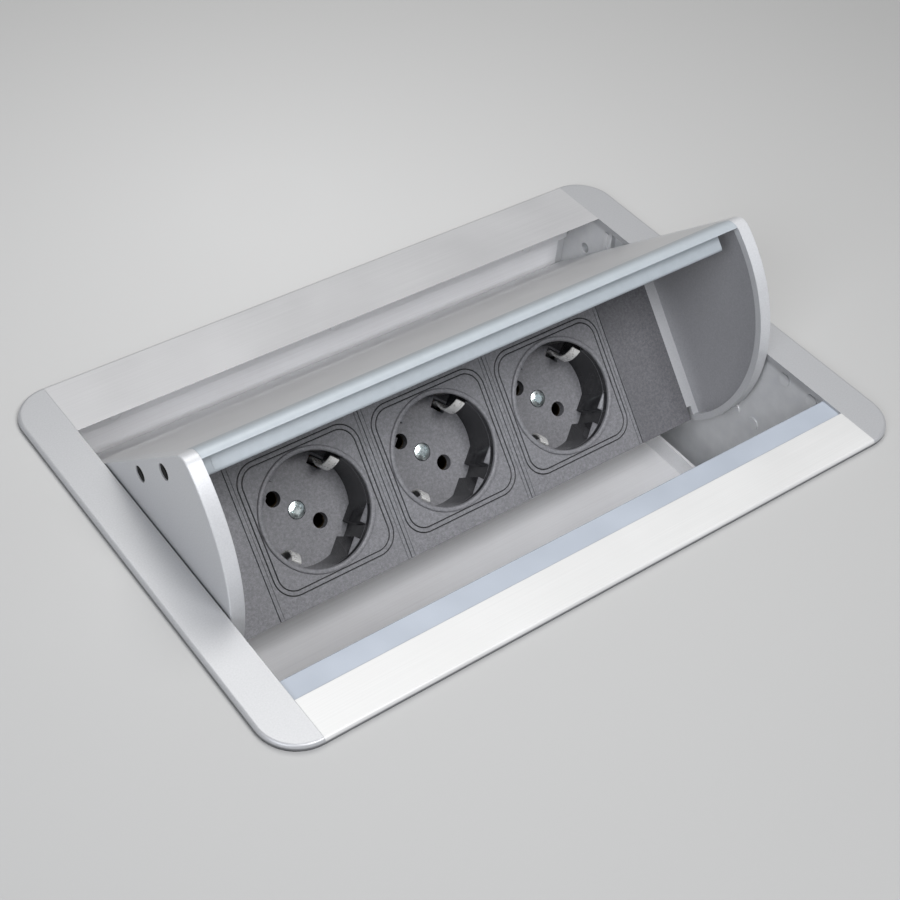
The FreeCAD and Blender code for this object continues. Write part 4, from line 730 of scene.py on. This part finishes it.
RAIL_X, RAIL_Y, RAIL_Z, RAIL_SHANK = 115.0, 72.0, 72.0, 14.0
CLAMP_X, CLAMP_Y, CLAMP_TOP, CLAMP_SHANK = (-78.5, -61.5), 62.0, 18.0, 14.3
LATCH_X, LATCH_Z = (-17.0, 17.0), 15.5
TUB_X, TUB_Y, TUB_Z, TUB_SHANK = (-90.0, 0.0, 90.0), 75.2, 61.8, 4.5
STRIP_X, STRIP_Y, STRIP_Z, STRIP_SHANK = 107.7, 12.0, (16.0, 57.2), 13.0
CHEEK_X, CHEEK_Y, CHEEK_Z, CHEEK_TIP = 109.9, (-36.3, -15.2), 72.4, 91.7
MODULES, PIN_LINE = (-52.7, 0.0, 52.7), math.radians(45.0)
CENTRE_DEPTH, CENTRE_SHANK = 16.1, 22.0


def socket_frame(x_mm):
    """The frame of one socket: Y runs into it from its face, X along the line of its pins."""
    middle = Matrix.Translation((x_mm * MM, FACE_Y * MM, SOCKET_Z * MM))
    return OPENED @ middle @ Matrix.Rotation(PIN_LINE, 4, "Y")


print("sockets at", MODULES, "mm")

# %% Screws of the unit
rail_places = [(SHUT, (side * RAIL_X, row * RAIL_Y, RAIL_Z), (side, 0, 0), RAIL_SHANK)
               for side in SIDES for row in SIDES]
clamp_places = [(SHUT, (x, CLAMP_Y, CLAMP_TOP), (0, 0, 1), CLAMP_SHANK) for x in CLAMP_X]
latch_places = [(SHUT, (x, TUB_Y, LATCH_Z), (0, -1, 0), TUB_SHANK) for x in LATCH_X]
screws("frame_screws", "frame", "screw_steel", zinc, rail_places + clamp_places + latch_places,
       SMALL, "rail_screws", "clamp_screws", "latch_screws")
screws("tub_screws", "frame", "screw_steel", pale_lacquer,
       [(SHUT, (x, row * TUB_Y, TUB_Z), (0, -row, 0), TUB_SHANK) for x in TUB_X for row in SIDES],
       SMALL, "trough_screws")
screws("strip_screws", "carrier", "screw_steel", zinc,
       [(OPENED, (side * STRIP_X, STRIP_Y, z), (side, 0, 0), STRIP_SHANK)
        for side in SIDES for z in STRIP_Z],
       SMALL, "housing_screws")
screws("lid_screws", "carrier", "screw_steel", painted_shade_screw_steel,
       [(OPENED, (side * CHEEK_X, y, CHEEK_Z), (side, 0, 0), CHEEK_X - CHEEK_TIP)
        for side in SIDES for y in CHEEK_Y],
       CHEEK, "cheek_screws")
screws("socket_screws", "carrier", "screw_steel", zinc,
       [(socket_frame(x), (0.0, CENTRE_DEPTH, 0.0), (0, -1, 0), CENTRE_SHANK) for x in MODULES],
       CENTRE, "centre_screw_1", "centre_screw_2", "centre_screw_3")

# %% [markdown]
# ## Earth clips
#
# In each well two tongues of sprung, nickel-plated strip press on the edge of the plug. They are the
# two ends of one bent strip, and their bow towards the middle of the well is what catches the light. A
# bent strip is a line with a thickness and a width, so the line is worked out point by point, set off to
# both sides and drawn out to its width. The edges that a press leaves are slightly rounded by a bevel.

# %% The line of a clip
CLIP_RADIUS, CLIP_TOP, CLIP_BACK = 18.7, 1.4, 34.4
CLIP_BOW, BOW_END, BOW_LEAN, BOW_STEPS = 3.3, 16.4, 0.8, 18
CORNER_SIZE, CORNER_CUT = 2.0, 0.6


def clip_line():
    """One tongue's middle line in mm, from its free end to the corner behind the socket."""
    line = []
    for step in range(BOW_STEPS + 1):
        share = step / BOW_STEPS
        depth = CLIP_TOP + share * (BOW_END - CLIP_TOP)
        line.append((CLIP_RADIUS - CLIP_BOW * math.sin(math.pi * share ** BOW_LEAN), depth))
    return line + [(CLIP_RADIUS, CLIP_BACK - CORNER_SIZE),
                   (CLIP_RADIUS - CORNER_CUT, CLIP_BACK - CORNER_CUT),
                   (CLIP_RADIUS - CORNER_SIZE, CLIP_BACK)]


print("a tongue's line has", len(clip_line()), "points")

# %% Earth clips
CLIP_WIDTH, CLIP_THICKNESS, CLIP_SHIFT = 3.6, 0.8, 0.1
EDGE_ROUND, CLIP_SHARP = 0.15, 35.0


def join_loops(form, first, second):
    """A band of faces between two closed loops with as many points each."""
    for i in range(len(first)):
        j = (i + 1) % len(first)
        form.faces.new((first[i], first[j], second[j], second[i]))


def as_mesh(form, name):
    mesh = bpy.data.meshes.new(name)
    form.to_mesh(mesh)
    form.free()
    return mesh


def bent_strip(name, at, line):
    form = bmesh.new()
    rings = []
    for i, (z, y) in enumerate(line):
        before, after = line[max(i - 1, 0)], line[min(i + 1, len(line) - 1)]
        along = Vector((0, after[1] - before[1], after[0] - before[0])).normalized()
        across = Vector((0, -along.z, along.y)) * (CLIP_THICKNESS / 2)
        middle = Vector((0, y, z))
        corners = [middle + across * a + Vector((CLIP_SHIFT + b * CLIP_WIDTH / 2, 0, 0))
                   for a, b in ((1, 1), (1, -1), (-1, -1), (-1, 1))]
        rings.append([form.verts.new(at @ (corner * MM)) for corner in corners])
    for first, second in zip(rings, rings[1:]):
        join_loops(form, first, second)
    form.faces.new(rings[0][::-1])
    form.faces.new(rings[-1])
    bmesh.ops.recalc_face_normals(form, faces=form.faces)
    long_edges = [edge for edge in form.edges if edge.calc_face_angle(0) > 1.0]
    bmesh.ops.bevel(form, geom=long_edges, offset=EDGE_ROUND * MM, segments=2, affect="EDGES",
                    clamp_overlap=True)
    mesh = as_mesh(form, name)
    smooth(mesh, CLIP_SHARP)
    return mesh


tongue = clip_line()
whole_line = tongue + [(-z, y) for z, y in reversed(tongue)]
for number, x in enumerate(MODULES, 1):
    name = "sprung_earth_clip_%d" % number
    clip = put(name, bent_strip(name, socket_frame(x), whole_line))
    clip.data.materials.append(nickel)
    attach(clip, "carrier")
    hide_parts("earth_clip_%d" % number)
print("earth clips", len(MODULES), "with", len(clip.data.polygons), "faces each")

# %% [markdown]
# ## The slot beside each tongue
#
# A tongue needs room to spring back, so the wall of the well is cut away behind and beside it, and the
# cut shows as a black slot. The ring from CAD is copied, its loose triangles are joined, and two small
# blocks are cut out of it with a Boolean. The copy takes the place of the CAD piece.

# %% Slotted rings
SLOT_X, SLOT_Y, SLOT_Z = (-5.0, 2.5), (0.9, 17.5), (17.0, 20.4)
MERGE = 0.001 * MM
RING_SHARP = 30.0


def block_mesh(name, at, boxes):
    """Blocks given by their low and high sides in mm, set in the frame of a socket."""
    form = bmesh.new()
    for box in boxes:
        made = bmesh.ops.create_cube(form, size=1.0)
        for vert in made["verts"]:
            vert.co = at @ (Vector([low + (share + 0.5) * (high - low)
                                    for share, (low, high) in zip(vert.co, box)]) * MM)
    bmesh.ops.recalc_face_normals(form, faces=form.faces)
    return as_mesh(form, name)


def slotted_ring(number, x):
    form = bmesh.new()
    form.from_mesh(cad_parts["socket_ring_%d" % number].data)
    bmesh.ops.remove_doubles(form, verts=form.verts, dist=MERGE)
    name = "slotted_ring_%d" % number
    ring = put(name, as_mesh(form, name))
    boxes = [(SLOT_X, SLOT_Y, SLOT_Z), (SLOT_X, SLOT_Y, (-SLOT_Z[1], -SLOT_Z[0]))]
    cutter = put("cutter", block_mesh("cutter", socket_frame(x), boxes))
    cut = ring.modifiers.new("slots", "BOOLEAN")
    cut.operation, cut.solver, cut.object = "DIFFERENCE", "EXACT", cutter
    whole = applied(ring)
    ring.modifiers.remove(cut)
    bpy.data.objects.remove(cutter)
    ring.data = whole
    whole.materials.clear()
    whole.materials.append(polished_wall_painted_shade)
    smooth(whole, RING_SHARP)
    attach(ring, "carrier")
    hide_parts("socket_ring_%d" % number)
    return ring


for number, x in enumerate(MODULES, 1):
    ring = slotted_ring(number, x)
    print(ring.name, len(ring.data.polygons), "faces")

# %% [markdown]
# ## A dark strip for painted shade, and the flange end
#
# A thin black rubber strip is set between the bezel and the desk, where the unit's shade falls, so that
# it shows as a fine dark line round the unit: a dark piece that stands in for painted shade. It follows
# the outline of the bezel, a little inside it. The flange under the lid's nose runs up to the left
# cheek, so a short length of the same section closes the gap there. Both are worked out as loops of
# points with bands of faces between them, which is the plainest way for a steady section.

# %% Dark strip under the bezel, for painted shade
SEAL_LOW, SEAL_HIGH = 74.2, 74.8
SEAL_INSET, SEAL_WIDTH, CORNER_STEPS = 0.25, 2.5, 12


def bezel_outline(inset):
    """Points round the bezel's outline, anticlockwise, set in from it by some mm."""
    half_x, half_y, radius = BEZEL_X - inset, BEZEL_Y - inset, BEZEL_CORNER - inset
    points = []
    for quarter, (sx, sy) in enumerate(((1, 1), (-1, 1), (-1, -1), (1, -1))):
        for step in range(CORNER_STEPS + 1):
            angle = math.radians(90.0) * (quarter + step / CORNER_STEPS)
            points.append((sx * (half_x - radius) + radius * math.cos(angle),
                           sy * (half_y - radius) + radius * math.sin(angle)))
    return points


def shade_seal_mesh():
    outer, inner = bezel_outline(SEAL_INSET), bezel_outline(SEAL_INSET + SEAL_WIDTH)
    form = bmesh.new()
    loops = [[form.verts.new((x * MM, y * MM, z * MM)) for x, y in outline]
             for outline, z in ((outer, SEAL_LOW), (outer, SEAL_HIGH),
                                (inner, SEAL_HIGH), (inner, SEAL_LOW))]
    for first, second in zip(loops, loops[1:] + loops[:1]):
        join_loops(form, first, second)
    bmesh.ops.recalc_face_normals(form, faces=form.faces)
    return as_mesh(form, "bezel_shade_seal")


def set_piece(name, mesh, material, body):
    piece = put(name, mesh)
    piece.data.materials.append(material)
    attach(piece, body)
    print(name, len(mesh.polygons), "faces on", body)


# a dark rubber strip that stands in for painted shade under the bezel
set_piece("bezel_shade_seal", shade_seal_mesh(), rubber, "frame")

# %% Flange end
FLANGE_FRONT, FLANGE_BACK, FLANGE_LOW, FLANGE_TOP = -50.8, -48.8, 67.8, 74.2
FLANGE_ENDS = (-104.9, -100.4)
ROUND_STEPS, FLANGE_SHARP = 10, 35.0


def flange_mesh():
    middle, radius = (FLANGE_FRONT + FLANGE_BACK) / 2, (FLANGE_BACK - FLANGE_FRONT) / 2
    section = [(middle - radius * math.cos(math.pi * step / ROUND_STEPS),
                FLANGE_LOW + radius - radius * math.sin(math.pi * step / ROUND_STEPS))
               for step in range(ROUND_STEPS + 1)]
    section += [(FLANGE_BACK, FLANGE_TOP), (FLANGE_FRONT, FLANGE_TOP)]
    form = bmesh.new()
    first, last = [[form.verts.new(OPENED @ (Vector((x, y, z)) * MM)) for y, z in section]
                   for x in FLANGE_ENDS]
    join_loops(form, first, last)
    form.faces.new(first)
    form.faces.new(last[::-1])
    bmesh.ops.recalc_face_normals(form, faces=form.faces)
    mesh = as_mesh(form, "flange_left_end")
    smooth(mesh, FLANGE_SHARP)
    return mesh


set_piece("flange_left_end", flange_mesh(), lid_finish, "carrier")

# %% [markdown]
# ## The desk top
#
# The bezel lies on a pale surface with the tub sunk in it, so the floor of the scene is a desk top at
# the level of the bezel's underside, with the cut-out that the tub needs. Seen from above it is plain,
# but for a painted pool of light that is palest near the unit. Seen from below it lets the view and the
# light through, so that the tub can be looked at too.

# %% Desk top
DESK_Z = 74.25 * MM
CUT_X, CUT_Y = 118.0 * MM, 81.5 * MM
DESK_REACH = 3.0
PATCH_SHIFT, PATCH_SCALE = (-0.02, -0.3, 0.0), (2.2, 2.2, 0.0)


def desk_mesh():
    form = bmesh.new()
    outer, inner = [[form.verts.new((x * sx, y * sy, DESK_Z)) for sx, sy in
                     ((-1, -1), (1, -1), (1, 1), (-1, 1))]
                    for x, y in ((DESK_REACH, DESK_REACH), (CUT_X, CUT_Y))]
    join_loops(form, outer, inner)
    return as_mesh(form, "desk_top")


def desk_lacquer_painted_light():
    """Palest in a wide round pool of painted light near the unit, and clear from below."""
    material, tree, surface = new_finish("pale_desk_lacquer", Roughness=0.6)
    place = add(tree, "TexCoord").outputs["Object"]
    centred = add(tree, "Mapping", {"Vector": place, "Location": PATCH_SHIFT, "Scale": PATCH_SCALE})
    # painted light: a round pool, palest near the unit
    patch = add(tree, "TexGradient", {"Vector": centred}, gradient_type="SPHERICAL")
    tone = add(tree, "ValToRGB", {"Fac": patch},
               stops=[(0.02, "a1a1a0"), (0.3, "a7a7a6"), (0.6, "b2b2b1"), (0.95, "c1c1c0")])
    tree.links.new(tone.outputs[0], surface.inputs["Base Color"])
    below = add(tree, "NewGeometry").outputs["Backfacing"]
    clear = add(tree, "BsdfTransparent")
    shown = add(tree, "MixShader", {"Fac": below, "Shader": surface.outputs[0],
                                    "Shader_001": clear.outputs[0]})
    tree.links.new(shown.outputs[0], tree.nodes["Material Output"].inputs["Surface"])
    return material


desk = put("desk_top", desk_mesh())
desk.data.materials.append(desk_lacquer_painted_light())
print("desk top at", round(DESK_Z / MM, 1), "mm, faces up:", desk.data.polygons[0].normal.z > 0)

# %% [markdown]
# ## The light
#
# A product photograph like this one is lit by large soft boxes. The strongest stands high in front and
# lights the sockets and the front rail. A second hangs behind, so that it mirrors in the flat tops of
# the metal. A third, cool one at the left gives the cheek and the nose of the lid their pale edges. Two
# weak ones lift the shade in the tub and at the right, and an even grey world fills in the rest. The
# powers were matched to the photograph's tones, at a level where no large patch turns white.

# %% Light
TARGET = (0.0, 0.0, 0.08)
SOFT_BOXES = [("front_soft_box", (0.06, -0.71, 1.13), (0.62, 0.54), 11.8, "fdfdff"),
              ("top_soft_box", (0.27, 0.46, 1.28), (0.8, 0.7), 7.8, "fffefc"),
              ("left_soft_box", (-0.85, -0.4, 0.68), (0.7, 0.6), 6.1, "f4f7fd"),
              ("steep_soft_box", (0.1, -0.5, 1.3), (0.7, 0.35), 1.5, "fdfdff"),
              ("low_soft_box", (0.95, -0.86, 0.62), (0.6, 0.5), 0.9, "dce9f4")]
WORLD_TONE, WORLD_STRENGTH = "e9ebee", 0.1


def soft_box(name, at, size, power, hex_colour):
    data = bpy.data.lights.new(name, "AREA")
    data.shape = "RECTANGLE"
    data.size, data.size_y = size
    data.energy = power
    data.color = linear(hex_colour)[:3]
    lamp = put(name, data)
    aim = (Vector(TARGET) - Vector(at)).to_track_quat("-Z", "Y")
    lamp.matrix_world = Matrix.Translation(at) @ aim.to_matrix().to_4x4()
    print(name, "at", at, power, "W")


for box in SOFT_BOXES:
    soft_box(*box)

world = bpy.data.worlds.new("studio")
world.use_nodes = True
bpy.context.scene.world = world
background = world.node_tree.nodes["Background"]
background.inputs["Color"].default_value = linear(WORLD_TONE)
background.inputs["Strength"].default_value = WORLD_STRENGTH
